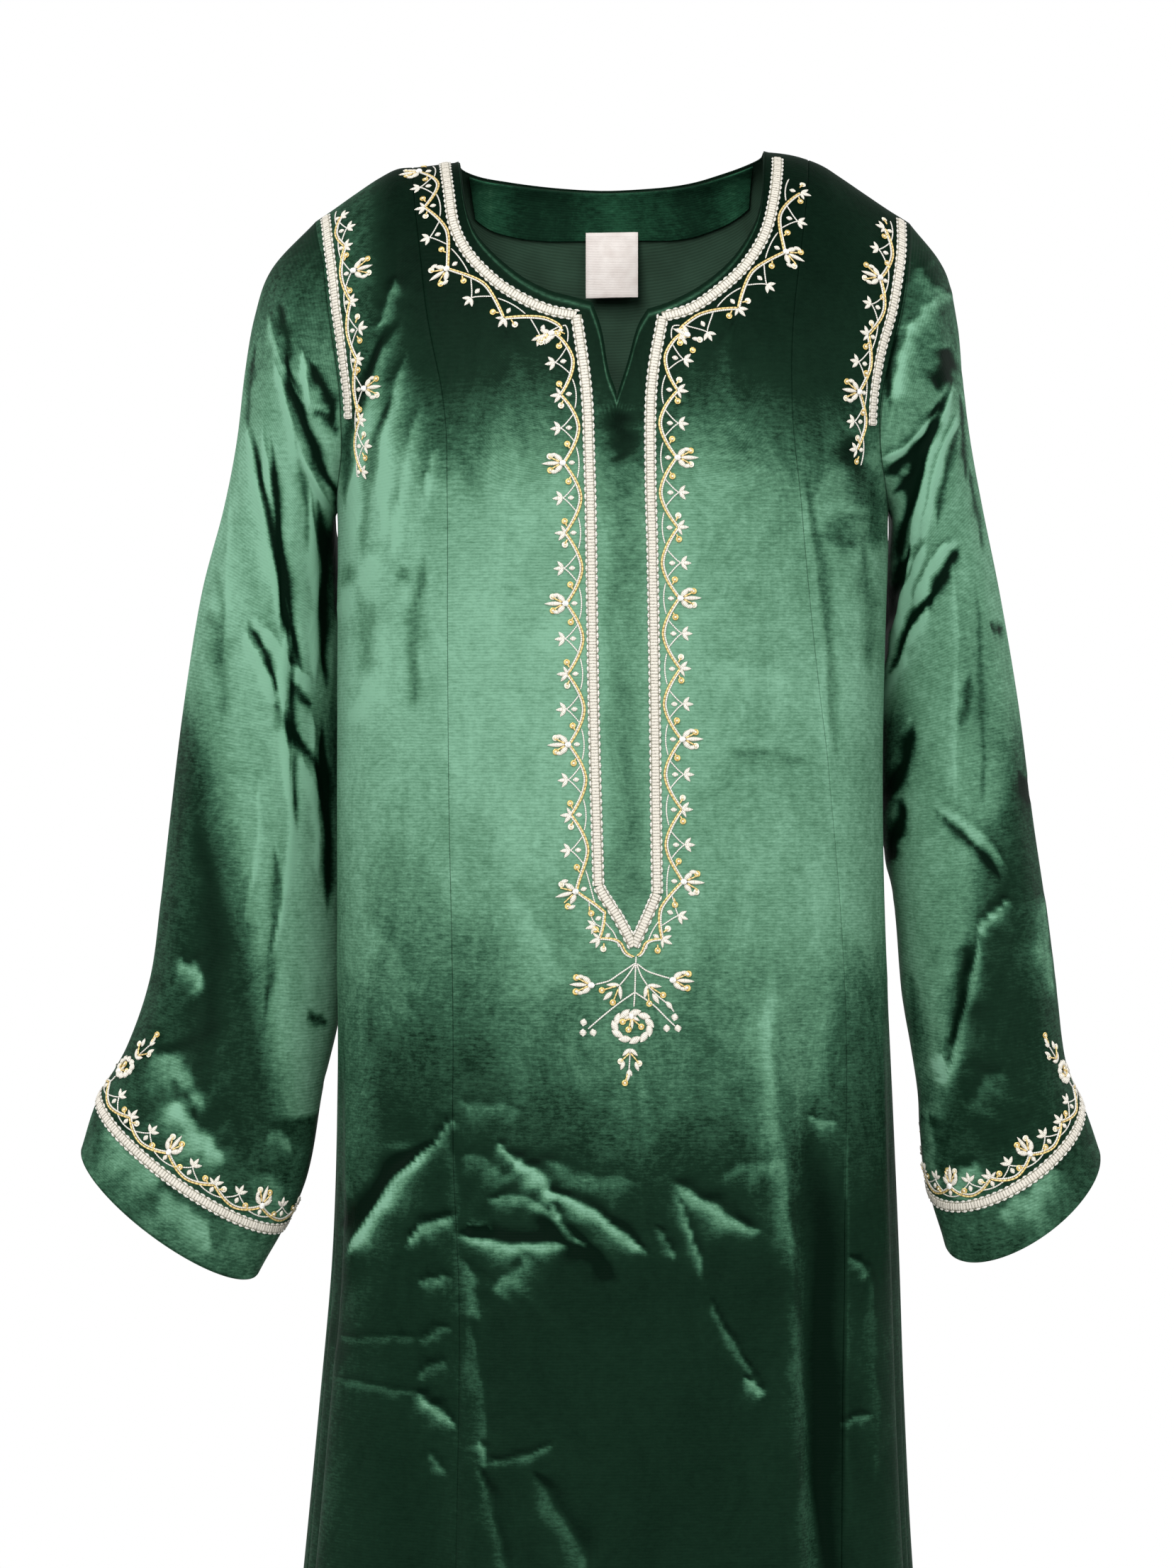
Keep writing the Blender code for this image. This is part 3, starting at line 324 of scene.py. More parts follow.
RIGHT_SLEEVE_CREASES = (
    (176, -68, 198, -84, -3, 7.0, 1.2, 0.36),
    (188, -84, 168, -104, 2, 4.0, 1.2, 0.40),
    (197, -112, 188, -138, 1, 5.0, -1.6, -0.70),
    (166, -80, 160, -148, -2, 2.6, -1.6, -0.60),
    (172, -98, 159, -146, 2, 4.0, 1.2, 0.50),
    (156, -179, 190, -146, -4, 2.2, 2.2, 0.60),
    (157, -186, 192, -153, -4, 3.4, -2.4, -1.00),
    (164, -197, 182, -178, -2, 2.6, -1.4, -0.65),
    (198, -134, 174, -250, -5, 2.0, 2.8, 0.66),
    (193, -140, 169, -240, -5, 3.0, -2.6, -0.95),
    (174, -250, 159, -338, -2, 2.0, 2.4, 0.60),
    (169, -246, 156, -320, -2, 3.0, -2.4, -0.95),
    (201, -150, 182, -224, -4, 1.8, 1.8, 0.46),
    (204, -156, 190, -216, -3, 2.0, -1.4, -0.50),
    (184, -224, 168, -278, -2, 1.8, 1.8, 0.50),
    (179, -222, 163, -272, -2, 2.6, -2.0, -0.85),
    (200, -222, 178, -262, -4, 1.8, 2.0, 0.50),
    (204, -228, 186, -264, -3, 2.8, -2.4, -1.00),
    (190, -256, 170, -298, -3, 1.8, 2.0, 0.55),
    (187, -254, 166, -300, -3, 2.8, -2.0, -0.90),
    (170, -296, 155, -342, -2, 1.8, 1.6, 0.44),
    (164, -246, 157, -300, 1, 3.4, -1.6, -0.75),
    (203, -136, 206, -190, 1, 1.6, -1.0, -0.45),
    (208, -180, 217, -230, 1, 1.6, -1.0, -0.40),
    (221, -273, 231, -277, 0, 2.0, -1.2, -0.70),
    (199, -232, 200, -380, 2, 1.8, 0.8, 0.16),
    (212, -250, 216, -380, 2, 1.8, -0.8, -0.24),
    (209, -300, 203, -332, 1, 2.4, -0.8, -0.35),
    (178, -330, 160, -382, 2, 2.8, -1.6, -0.75),
    (172, -374, 164, -412, 1, 3.0, -1.8, -0.85),
    (188, -382, 226, -420, 3, 2.2, -1.6, -0.65),
    (192, -378, 230, -414, 3, 2.4, 1.4, 0.24),
    (232, -434, 213, -452, -2, 2.4, 2.0, 0.60),
    (214, -450, 195, -540, 2, 2.4, 2.2, 0.46),
    (206, -452, 196, -520, 3, 5.0, -1.8, -0.40),
    (194, -522, 196, -540, 0, 4.0, 1.0, 0.60),
    (240, -360, 245, -376, 0, 3.2, -1.4, -0.60),
    (251, -430, 256, -490, 1, 5.5, 1.0, 0.36),
    (174, -470, 184, -560, 2, 4.0, -1.6, -0.30),
    (199, -606, 213, -584, 2, 5.5, 1.2, 0.46),
    (186, -560, 192, -600, 0, 4.0, 1.0, 0.30),
    (226, -618, 262, -590, 3, 9.0, 1.0, 0.40),
    (208, -556, 228, -530, 2, 6.0, 0.8, 0.16),
)
# Painted sheen and shade over the body, by height: height in metres, brightness.
BODY_PAINTED_SHEEN = np.array((
    (-1.24, 0.12), (-0.70, 0.13), (-0.62, 0.14), (-0.57, 0.26), (-0.53, 0.44),
    (-0.49, 0.56), (-0.45, 0.74), (-0.38, 0.86), (-0.25, 0.87), (-0.20, 0.78),
    (-0.165, 0.42), (-0.14, 0.22), (-0.10, 0.09), (-0.05, 0.03), (0.02, 0.02),
))
# Painted sheen and shade along the sleeves, by height: height in metres, brightness.
SLEEVE_PAINTED_SHEEN = np.array((
    (-0.70, 0.42), (-0.62, 0.38), (-0.58, 0.24), (-0.52, 0.20), (-0.48, 0.22),
    (-0.44, 0.44), (-0.40, 0.68), (-0.30, 0.80), (-0.14, 0.68), (-0.09, 0.34),
    (-0.05, 0.12), (0.00, 0.04),
))


def hermite(rows, at, column=1):
    """A table column at the given keys: cubic pieces whose slopes are those of the table."""
    keys = rows[:, 0]
    values = rows[:, column]
    slopes = np.gradient(values, keys)
    at = np.clip(np.asarray(at, dtype=float), keys[0], keys[-1])
    place = np.clip(np.searchsorted(keys, at) - 1, 0, len(keys) - 2)
    step = keys[place + 1] - keys[place]
    s = (at - keys[place]) / step
    rise = 3 * s**2 - 2 * s**3
    lean_in = (s - 2 * s**2 + s**3) * step
    lean_out = (s**3 - s**2) * step
    return (
        values[place] * (1 - rise)
        + values[place + 1] * rise
        + slopes[place] * lean_in
        + slopes[place + 1] * lean_out
    )


def bell(value, width):
    return np.exp(-((value / width) ** 2))


def smooth_step(value):
    value = np.clip(value, 0.0, 1.0)
    return value * value * (3 - 2 * value)


def unit(vectors):
    length = np.linalg.norm(vectors, axis=-1, keepdims=True)
    return vectors / np.maximum(length, 1e-12)


def depth_of(fall):
    """Depth below the ridge after a quarter circle of cloth and a straight drop."""
    turned = np.minimum(fall / TURN_RADIUS, math.pi / 2)
    straight = np.maximum(fall - TURN_RADIUS * math.pi / 2, 0)
    return TURN_RADIUS * (1 - np.cos(turned)) + straight


def fall_of(depth):
    """The way back: how much cloth runs from the ridge to this depth."""
    turned = np.arccos(np.clip(1 - depth / TURN_RADIUS, 0, 1)) * TURN_RADIUS
    return turned + np.maximum(depth - TURN_RADIUS, 0)


def by_side(rows, at, side):
    """The table's left column where the side is negative, its right one elsewhere."""
    return np.where(side < 0, hermite(rows, at, 1), hermite(rows, at, 2))


def half_width(depth, sign):
    return by_side(HALF_WIDTHS, depth, sign)


def ridge_height(x):
    return by_side(RIDGE, np.abs(x), x)


def angle_at(x, depth):
    """Angle across the body that puts the cloth at this sideways place."""
    share = np.clip(np.abs(x) / half_width(depth, x), 0, 1)
    return np.sign(x) * np.arcsin(share ** (SQUARENESS / 2))


def body_point(angle, fall, side):
    """The body: a superellipse across, a quarter ellipse and a drop down, plus flutes.

    Side is -1 for the front and 1 for the back. A flute moves a point along its bearing
    by a bell round the flute's own bearing, growing from its start to the hem.
    """
    turned = np.clip(fall / TURN_RADIUS, 0, math.pi / 2)
    depth = depth_of(fall)
    across = np.sign(angle) * np.abs(np.sin(angle)) ** (2 / SQUARENESS)
    x = across * half_width(depth, angle)
    z = -depth + ridge_height(x) * np.cos(turned) ** 2
    if side < 0:
        reach = hermite(HALF_DEPTHS, depth, 1)
        power = 0.95
    else:
        reach = hermite(HALF_DEPTHS, depth, 2)
        power = 0.30 + 0.35 * smooth_step(np.abs(x) / 0.17)
    round_share = np.abs(np.cos(angle)) ** (2 / SQUARENESS)
    y = side * reach * round_share * np.sin(turned) ** power
    bearing = np.degrees(angle)
    if side > 0:
        bearing = np.where(angle < 0, -180 - bearing, 180 - bearing)
    push = np.zeros_like(bearing)
    for centre, spread, amount, start in FLUTES:
        grown = np.clip((depth - start) / (HEM_DEPTH - start), 0, 1)
        apart = (bearing - centre + 180) % 360 - 180
        push += amount * grown**0.8 * bell(apart, spread)
    turn = np.radians(bearing)
    x = x + push * np.sin(turn)
    y = y - push * np.cos(turn)
    return np.stack((x, y, z), axis=-1)


def spot(x, z):
    """Angle and fall of a front point given by its sideways place and height."""
    x = np.asarray(x, dtype=float)
    z = np.asarray(z, dtype=float)
    depth = np.maximum(-z, 0)
    for _ in range(SETTLING):
        turned = fall_of(depth) / TURN_RADIUS
        fade = np.cos(np.clip(turned, 0, math.pi / 2)) ** 2
        depth = np.maximum(ridge_height(x) * fade - z, 0)
    return np.stack((angle_at(x, depth), fall_of(depth)), axis=-1)


def armhole_edge(column):
    """Angle and fall of the armhole edge, from the shoulder down to the armpit."""
    turns = np.arange(UPPER_ROWS + 1) * math.pi / (2 * UPPER_ROWS)
    falls = float(fall_of(ARMPIT_DEPTH)) * np.sin(turns)
    depth = depth_of(falls)
    x = hermite(ARMHOLE, -depth, column)
    for _ in range(SETTLING):
        fade = np.cos(falls / TURN_RADIUS) ** 2
        height = -depth + ridge_height(x) * fade
        x = hermite(ARMHOLE, np.minimum(height, ARMHOLE_TOP), column)
    angles = angle_at(x, depth)
    angles[-1] = math.copysign(math.pi / 2, x[-1])
    return np.stack((angles, falls), axis=-1)


def lower_falls():
    """Falls of the rows below the armpit, zone by zone."""
    falls = [np.array((float(fall_of(ARMPIT_DEPTH)),))]
    for depth, rows in ROW_ZONES:
        falls.append(np.linspace(falls[-1][-1], float(fall_of(depth)), rows + 1)[1:])
    return np.concatenate(falls)


def seam_edge(column):
    """Angle and fall of a long front seam, from the shoulder to the hem."""
    upper = np.linspace(0, float(fall_of(ARMPIT_DEPTH)), UPPER_ROWS + 1)
    falls = np.concatenate((upper, lower_falls()[1:]))
    depth = depth_of(falls)
    fade = np.cos(np.clip(falls / TURN_RADIUS, 0, math.pi / 2)) ** 2
    x = hermite(FRONT_SEAMS, -depth, column)
    for _ in range(SETTLING):
        x = hermite(FRONT_SEAMS, -depth + ridge_height(x) * fade, column)
    return np.stack((angle_at(x, depth), falls), axis=-1)


def run_along(points):
    """Distance along a line of points from its first."""
    steps = np.linalg.norm(np.diff(points, axis=0), axis=1)
    return np.concatenate(((0,), np.cumsum(steps)))


def run_down(grid):
    """Distance down each column of a grid from its first row."""
    steps = np.linalg.norm(np.diff(grid, axis=0), axis=2)
    return np.concatenate((np.zeros((1, grid.shape[1])), np.cumsum(steps, axis=0)))


def smooth_line(points, count):
    """A cubic line through the points, cut into count equal lengths."""
    run = np.arange(len(points), dtype=float)
    fine = np.linspace(0, run[-1], 30 * (len(points) - 1) + 1)
    if len(points) > 2:
        table = np.column_stack((run, points))
        columns = [hermite(table, fine, k + 1) for k in range(points.shape[1])]
    else:
        columns = [np.interp(fine, run, points[:, k]) for k in range(points.shape[1])]
    dense = np.stack(columns, axis=-1)
    length = run_along(dense)
    at = np.linspace(0, length[-1], count + 1)
    return np.stack([np.interp(at, length, dense[:, k]) for k in range(dense.shape[1])], axis=-1)


def patch(top, left, right, bottom):
    """Coons patch: the loft between top and bottom plus the one between the sides,
    less the bilinear fill of the corners."""
    u = np.linspace(0, 1, len(top))[None, :, None]
    v = np.linspace(0, 1, len(left))[:, None, None]
    lofted = (1 - v) * top[None] + v * bottom[None]
    ruled = (1 - u) * left[:, None] + u * right[:, None]
    corners = (1 - v) * ((1 - u) * top[0] + u * top[-1])
    corners = corners + v * ((1 - u) * bottom[0] + u * bottom[-1])
    return lofted + ruled - corners


def panel_plan(top, left, right):
    """Angle and fall over a panel from its top edge to the hem."""
    u = np.linspace(0, 1, len(top))[:, None]
    bottom = (1 - u) * left[UPPER_ROWS] + u * right[UPPER_ROWS]
    upper = patch(top, left[: UPPER_ROWS + 1], right[: UPPER_ROWS + 1], bottom)
    skirt_left = left[UPPER_ROWS + 1 :, None]
    skirt_right = right[UPPER_ROWS + 1 :, None]
    return np.concatenate((upper, (1 - u[None]) * skirt_left + u[None] * skirt_right))


def grid_normals(grid, closed=False):
    """Unit cross product of the steps down and across."""
    if closed:
        wide = np.concatenate((grid[:, -1:], grid, grid[:, :1]), axis=1)
        across = wide[:, 2:] - wide[:, :-2]
    else:
        across = np.gradient(grid, axis=1)
    return unit(np.cross(np.gradient(grid, axis=0), across))


def creased(x, z, rows):
    """Height of the creases at these front places, and their painted highlight and shade.

    Along a crease t runs from 0 to 1. Its middle line bows by 4 bow t (1 - t) and sways
    by two sines, and its half width swells by sin(pi t) to the power 0.6. Across it the
    height is a bell. The painted highlight is a bell too, cut short on the upper flank, where
    the crease is sharp, with a fainter bell three times as wide on the lower flank; a crease
    with a negative highlight paints a bell of shade instead.
    """
    height = np.zeros_like(x)
    painted_light = np.zeros_like(x)
    for number, (x0, z0, x1, z1, bow, half, lift, painted_glow) in enumerate(rows):
        way = np.array((x1 - x0, z1 - z0)) * MM
        length = np.linalg.norm(way)
        way = way / length
        side = np.array((-way[1], way[0]))
        lower = -1 if side[1] > 0 else 1
        phase = 1.7 * number
        from_x = x - x0 * MM
        from_z = z - z0 * MM
        t = (from_x * way[0] + from_z * way[1]) / length
        inside = np.clip(t, 0, 1)
        middle = 4 * bow * MM * inside * (1 - inside)
        sway = np.sin(inside * 9 + phase) + 0.6 * np.sin(inside * 21 + 2.1 * phase)
        half_here = half * MM * (0.25 + np.sin(math.pi * inside) ** 0.6)
        half_here = half_here * (1 + 0.25 * np.sin(inside * 14 + 1.3 * phase))
        off = from_x * side[0] + from_z * side[1] - middle - 0.22 * half * MM * sway
        ends = smooth_step(t / 0.22 + 0.3) * smooth_step((1 - t) / 0.22 + 0.3)
        ridge = bell(off, half_here * 1.25) * ends
        height += 0.62 * lift * MM * ridge
        # a negative value paints a bell of shade along the crease
        if painted_glow < 0:
            painted_light += painted_glow * bell(off, half_here) * ends
            continue
        # the rest paint a highlight, sharp on the upper flank and soft on the lower
        below = off * lower > 0
        flank = bell(off, np.where(below, 1.05, 0.32) * half_here)
        halo = np.where(below, bell(off, 3.2 * half_here), flank)
        painted_light += painted_glow * (0.78 * flank + 0.22 * halo) * ends
    return height, painted_light


def body_relief(points, side):
    """Crease height and painted crease highlight and shade over the body; the back repeats the
    front's, turned round.
    """
    x = points[..., 0]
    z = points[..., 2]
    if side < 0:
        return creased(x, z, FRONT_CREASES)
    height, painted_light = creased(-x * 1.04, z * 0.985 + 0.012, FRONT_CREASES)
    upper = smooth_step((z + 0.30) / 0.25)
    return height * (1 - 0.5 * upper), painted_light * (1 - 0.4 * upper)


def painted_body_sheen(points):
    """Painted sheen and shade on the body, from 0 to about 1: a bright band over the chest and
    waist, darker above and below, lighter toward the left edge, darker toward the right edge and
    along the front opening.
    """
    x = points[..., 0]
    z = points[..., 2]
    left = smooth_step((-x - 0.045) / 0.04) * smooth_step((-z - 0.27) / 0.1)
    broad = hermite(BODY_PAINTED_SHEEN, z - 0.055 * left + 0.010 * np.sin(x * 60 + 1.0))
    right = smooth_step((x - 0.02) / 0.06) * smooth_step((z + 0.46) / 0.1)
    broad = broad * (1 - 0.15 * right)
    # painted lighter band at the left edge, painted darker one at the right edge
    left_edge = smooth_step((-x - 0.125) / 0.02) * smooth_step((z + 0.62) / 0.08)
    right_edge = smooth_step((x - 0.115) / 0.02) * smooth_step((-z - 0.42) / 0.1)
    # painted shade along the front opening
    front_slit = bell(x - 0.008, 0.014) * smooth_step((z + 0.46) / 0.02)
    broad = broad + 0.25 * left_edge * (1 - broad) - 0.35 * right_edge * broad
    return broad - 0.27 * front_slit * broad


def sleeve_ring(table, rows, turn):
    """Sleeve sections: middle + cos(turn) reach to the outer edge + sin(turn) forward.

    Turn 0 is the sleeve's top line and a half turn is the underarm.
    """
    values = np.stack([hermite(table, rows, k) for k in range(1, 9)], axis=-1)
    outer = values[:, (0, 6, 1)]
    inner = values[:, (2, 4, 3)]
    middle = ((outer + inner) / 2)[:, None]
    reach = ((outer - inner) / 2)[:, None]
    forward = np.stack((values[:, 0] * 0, -values[:, 5], -values[:, 7]), axis=-1)[:, None]
    turn = turn[None, :, None]
    return middle + np.cos(turn) * reach + np.sin(turn) * forward


def sleeve_grid(table, armhole):
    """Rows from the armhole to the cuff: the seam's own shape is carried down five rows."""
    keyed = np.column_stack((np.arange(len(table), dtype=float), table))
    turn = 2 * math.pi * np.arange(len(armhole)) / len(armhole)
    rows = np.linspace(0, len(table) - 1, SLEEVE_ROWS)
    start = sleeve_ring(keyed, rows[:1], turn)[0]
    carried = (1 - smooth_step(rows / 5.0) ** 0.8)[:, None, None]
    return sleeve_ring(keyed, rows, turn) + (armhole - start)[None] * carried


def sleeve_relief(points, rows, back):
    """Creases of a sleeve, with their painted highlight and shade; its back half wears the same
    ones, moved down a little.
    """
    x = points[..., 0]
    z = points[..., 2]
    height, painted_light = creased(x, z, rows)
    far_height, far_painted_light = creased(x * 1.01, z * 0.97 + 0.02, rows)
    return height * (1 - back) + far_height * back, painted_light * (1 - back) + far_painted_light * back


def painted_sleeve_sheen(points, sign):
    """Painted sheen: bright from the upper arm to a slanting line below the elbow, painted darker
    outside it.
    """
    x = points[..., 0] * sign
    z = points[..., 2]
    slope = np.where(x > 0.214, 4.0, 5.5)
    slant = slope * (x - 0.214) * smooth_step((-z - 0.25) / 0.1)
    broad = hermite(SLEEVE_PAINTED_SHEEN, np.where(z < -0.56, z, np.maximum(z - slant, -0.56)))
    return broad * (0.92 - 0.08 * sign)


def painted_side_sheen(broad, normals):
    """Painted sheen: cloth turned to the side is painted a little brighter where it is dark."""
    return broad + 0.15 * normals[..., 0] ** 2 * (1 - broad)


def linear(code):
    """An sRGB hex colour as linear light."""
    parts = [int(code[k : k + 2], 16) / 255 for k in (0, 2, 4)]
    light = [c / 12.92 if c <= 0.04045 else ((c + 0.055) / 1.055) ** 2.4 for c in parts]
    return (*light, 1.0)


def material(name):
    """A new material with its node tree and its Principled BSDF."""
    made = bpy.data.materials.new(name)
    made.use_nodes = True
    return made, made.node_tree, made.node_tree.nodes["Principled BSDF"]


def add(tree, kind, inputs=None, links=None, **settings):
    """Add one node with its settings, input values and incoming links."""
    node = tree.nodes.new(kind)
    for name, value in settings.items():
        setattr(node, name, value)
    for name, value in (inputs or {}).items():
        node.inputs[name].default_value = value
    for name, source in (links or {}).items():
        tree.links.new(source, node.inputs[name])
    return node


def ramp(tree, source, stops):
    """A ramp through (position, hex colour) or (position, number) stops."""
    node = add(tree, "ShaderNodeValToRGB", links={"Fac": source})
    elements = node.color_ramp.elements
    while len(elements) < len(stops):
        elements.new(0.5)
    for element, (position, code) in zip(elements, stops):
        element.position = position
        element.color = linear(code) if isinstance(code, str) else (code, code, code, 1.0)
    return node.outputs["Color"]


def wave_scale(pitch):
    """Scale that makes a wave texture repeat after this length."""
    return 2 * math.pi / (20 * pitch)


def maths(tree, operation, *terms, clamp=False):
    """One math node over numbers and outputs of other nodes."""
    node = add(tree, "ShaderNodeMath", operation=operation, use_clamp=clamp)
    for k, term in enumerate(terms):
        if isinstance(term, float):
            node.inputs[k].default_value = term
        else:
            tree.links.new(term, node.inputs[k])
    return node.outputs[0]


def centred(tree, value, amount, onto):
    """A value's distance from one half, times an amount, added onto another value."""
    return maths(tree, "MULTIPLY_ADD", maths(tree, "SUBTRACT", value, 0.5), amount, onto)


def noise(tree, place, scale, octaves, roughness=0.5, distortion=0.0):
    inputs = {
        "Scale": scale,
        "Detail": octaves,
        "Roughness": roughness,
        "Distortion": distortion,
    }
    return add(tree, "ShaderNodeTexNoise", inputs, {"Vector": place}).outputs["Fac"]


def bands(tree, place, pitch, distortion, detail, detail_scale=1.0, axis="Y"):
    """Waves that repeat after the pitch along an axis, bent by the distortion."""
    inputs = {
        "Scale": wave_scale(pitch),
        "Distortion": distortion,
        "Detail": detail,
        "Detail Scale": detail_scale,
    }
    links = {"Vector": place}
    return add(tree, "ShaderNodeTexWave", inputs, links, bands_direction=axis).outputs["Fac"]


def bump(tree, height, strength, distance, onto=None):
    """A bumped normal, on top of another where there is one."""
    links = {"Height": height}
    if onto is not None:
        links["Normal"] = onto
    inputs = {"Strength": strength, "Distance": distance}
    return add(tree, "ShaderNodeBump", inputs, links).outputs["Normal"]


def stretched(tree, place, scale):
    return add(tree, "ShaderNodeMapping", {"Scale": scale}, {"Vector": place}).outputs["Vector"]


def attribute(tree, name, output):
    return add(tree, "ShaderNodeAttribute", attribute_name=name).outputs[output]


def object_place(tree):
    return add(tree, "ShaderNodeTexCoord").outputs["Object"]


def dress(tree, shader, colour, normal, values):
    """Give a shader its colour, its bumped normal and its other input values."""
    tree.links.new(colour, shader.inputs["Base Color"])
    tree.links.new(normal, shader.inputs["Normal"])
    for name, value in values.items():
        shader.inputs[name].default_value = value


# The weft ribs are 1 mm apart in the real cloth. They are drawn as far apart as they
# need to be to show.
RIB_PITCH = 0.0017
# how bright the painted sheen is, and how much the noise breaks it up there
BROKEN_UP = ((0.0, 0.08), (0.16, 0.15), (0.32, 0.52), (0.55, 0.60), (0.80, 0.46), (1.0, 0.38))


def velvet(name, stops, strength):
    """Silk velvet, woven and cut, its colour run from near black to satin bright by painted
    sheen and shade: the painted-light attributes, broad and at the creases, set how bright it
    is. Noise of 33 mm in ten octaves, brush streaks 9 mm apart and flecks 2 mm high and
    5 mm wide break the change into brushed patches, most where the painted sheen is half way."""
    made, tree, shader = material(name)
    place = object_place(tree)
    # The cloth's painted sheen and shade, broad and at the creases, set the colour.
    painted_light = attribute(tree, "painted_light", "Fac")
    painted_crease_light = attribute(tree, "painted_crease_light", "Fac")
    upright = stretched(tree, place, (1.0, 1.0, 0.6))
    brushed = stretched(tree, place, (1.0, 1.0, 0.16))
    hatched = stretched(tree, place, (0.34, 0.34, 1.0))
    patches = centred(tree, noise(tree, upright, 30.0, 10.0, 0.80, 0.6), 1.60, 0.0)
    patches = centred(tree, noise(tree, brushed, 110.0, 6.0, 0.75, 0.6), 0.42, patches)
    patches = centred(tree, noise(tree, hatched, 560.0, 4.0, 0.85), 1.50, patches)
    bounded = maths(tree, "MULTIPLY_ADD", painted_crease_light, 0.7, painted_light, clamp=True)
    amount = ramp(tree, bounded, [(at, share * strength) for at, share in BROKEN_UP])
    total = maths(tree, "MULTIPLY_ADD", patches, amount, maths(tree, "ADD", painted_light, painted_crease_light))
    ribs = bands(tree, attribute(tree, "weave", "Vector"), RIB_PITCH, 2.2, 3.0, 0.5)
    total = centred(tree, ribs, maths(tree, "MULTIPLY", bounded, 0.11), total)
    relief = bump(tree, noise(tree, upright, 75.0, 3.0, 0.55, 0.8), 0.18, 0.004)
    relief = bump(tree, ribs, 0.12, 0.0006, relief)
    values = {
        "Roughness": 0.5,
        "Specular IOR Level": 0.02,
        "Sheen Weight": 0.02,
        "Sheen Roughness": 0.3,
        "Sheen Tint": linear("5FAF84"),
    }
    dress(tree, shader, ramp(tree, total, stops), relief, values)
    return made


def velvet_ground():
    """Velvet's ground seen from inside: a dull, cross-ribbed cloth."""
    made, tree, shader = material("velvet_ground_woven")
    ribs = bands(tree, attribute(tree, "weave", "Vector"), RIB_PITCH, 1.6, 2.0, 0.6)
    cloud = noise(tree, object_place(tree), 40.0, 4.0)
    mixed = maths(tree, "MULTIPLY_ADD", ribs, 0.22, cloud)
    colour = ramp(tree, mixed, ((0.3, "223729"), (0.9, "34503F")))
    values = {"Roughness": 0.8, "Specular IOR Level": 0.2}
    dress(tree, shader, colour, bump(tree, ribs, 0.15, 0.0006), values)
    return made


def thread(name, dark, light, roughness, metallic, pitch):
    """Embroidery thread: stitches or windings that repeat after the pitch along the
    weave attribute, broken by a fine noise, are drawn as colour bands, lighter on each
    and darker between, that mark the stitches and paint their glints."""
    made, tree, shader = material(name)
    fine = noise(tree, object_place(tree), 1500.0, 3.0, 0.7)
    wound = bands(tree, attribute(tree, "weave", "Vector"), pitch, 0.6, 1.0)
    mixed = maths(tree, "MULTIPLY_ADD", wound, 0.42, fine)
    colour = ramp(tree, mixed, ((0.36, dark), (0.74, light)))
    values = {"Roughness": roughness, "Metallic": metallic}
    dress(tree, shader, colour, bump(tree, mixed, 0.35, 0.0003), values)
    return made


def woven_satin():
    """Label satin: polyester, woven with long floats; a soft sheen and a fine rib
    0.5 mm apart, drawn at 1 mm."""
    made, tree, shader = material("label_satin_woven")
    place = object_place(tree)
    ribs = bands(tree, place, 0.001, 0.5, 1.0, axis="Z")
    mixed = maths(tree, "MULTIPLY_ADD", ribs, 0.2, noise(tree, place, 120.0, 3.0))
    colour = ramp(tree, mixed, ((0.3, "D9CDC6"), (0.8, "F0E8E2")))
    dress(tree, shader, colour, bump(tree, ribs, 0.2, 0.0003), {"Roughness": 0.42})
    return made


# Velvet colour runs from painted shade to painted sheen: the stops are shaded and lit tones of the
# one green.
VELVET = velvet(
    "silk_velvet_cut_pile",
    ((0.0, "04140B"), (0.20, "12291C"), (0.44, "30533F"), (0.70, "537D63"), (1.0, "78A58B")),
    1.0,
)
FACING_VELVET = velvet(
    "silk_velvet_facing",
    ((0.0, "0B1C14"), (0.30, "163324"), (0.62, "2A5A41"), (1.0, "568C6A")),
    0.9,
)
GROUND = velvet_ground()
# These thread colours go dark to light along each stitch and winding, painting their glints.
CREAM = thread("rayon_floss_cream", "9A9382", "EBE6DA", 0.42, 0.0, 0.0009)
SILVER = thread("silver_wound_thread", "8F8B7E", "E6E3DA", 0.38, 0.1, 0.0012)
GOLD = thread("gold_wound_cord", "8A6526", "EBD18C", 0.34, 0.25, 0.0024)
BRAID_CORE = thread("rayon_braid_core", "6F6A5C", "DDD7CA", 0.45, 0.0, 0.0018)
# The braid base is a gauze; its darker tone is partly painted shade between the cord and the
# dashes.
BRAID_BASE_AND_SHADE = thread("braid_base_gauze_and_shade", "4E5344", "8F8C7B", 0.6, 0.0, 0.0018)
SEQUIN = thread("sequin_gilt_plastic", "B98F36", "F2D98C", 0.24, 0.3, 0.004)
PALE_SEQUIN = thread("sequin_pearl_plastic", "D9CDAE", "FBF6E6", 0.24, 0.0, 0.004)
BEAD = thread("glass_seed_bead_white", "CFCBC2", "FFFEFA", 0.16, 0.0, 0.004)
SATIN = woven_satin()


def make_mesh(name, points, faces, materials, which, attributes):
    """Smooth mesh from arrays: points, quads, a material index for each face and
    attributes of one or of three numbers for each point."""
    mesh = bpy.data.meshes.new(name)
    mesh.from_pydata(points.tolist(), [], faces.tolist())
    for item in materials:
        mesh.materials.append(item)
    mesh.polygons.foreach_set("material_index", which.astype(np.int32))
    for title, values in attributes.items():
        single = values.ndim == 1
        layer = mesh.attributes.new(title, "FLOAT" if single else "FLOAT_VECTOR", "POINT")
        field = "value" if single else "vector"
        layer.data.foreach_set(field, values.astype(np.float32).ravel())
    mesh.shade_smooth()
    mesh.update()
    thing = bpy.data.objects.new(name, mesh)
    bpy.context.scene.collection.objects.link(thing)
    return thing


def quads(index):
    """Faces of a grid of point numbers."""
    a = index[:-1, :-1]
    b = index[1:, :-1]
    c = index[1:, 1:]
    d = index[:-1, 1:]
    return np.stack((a, b, c, d), axis=-1).reshape(-1, 4)


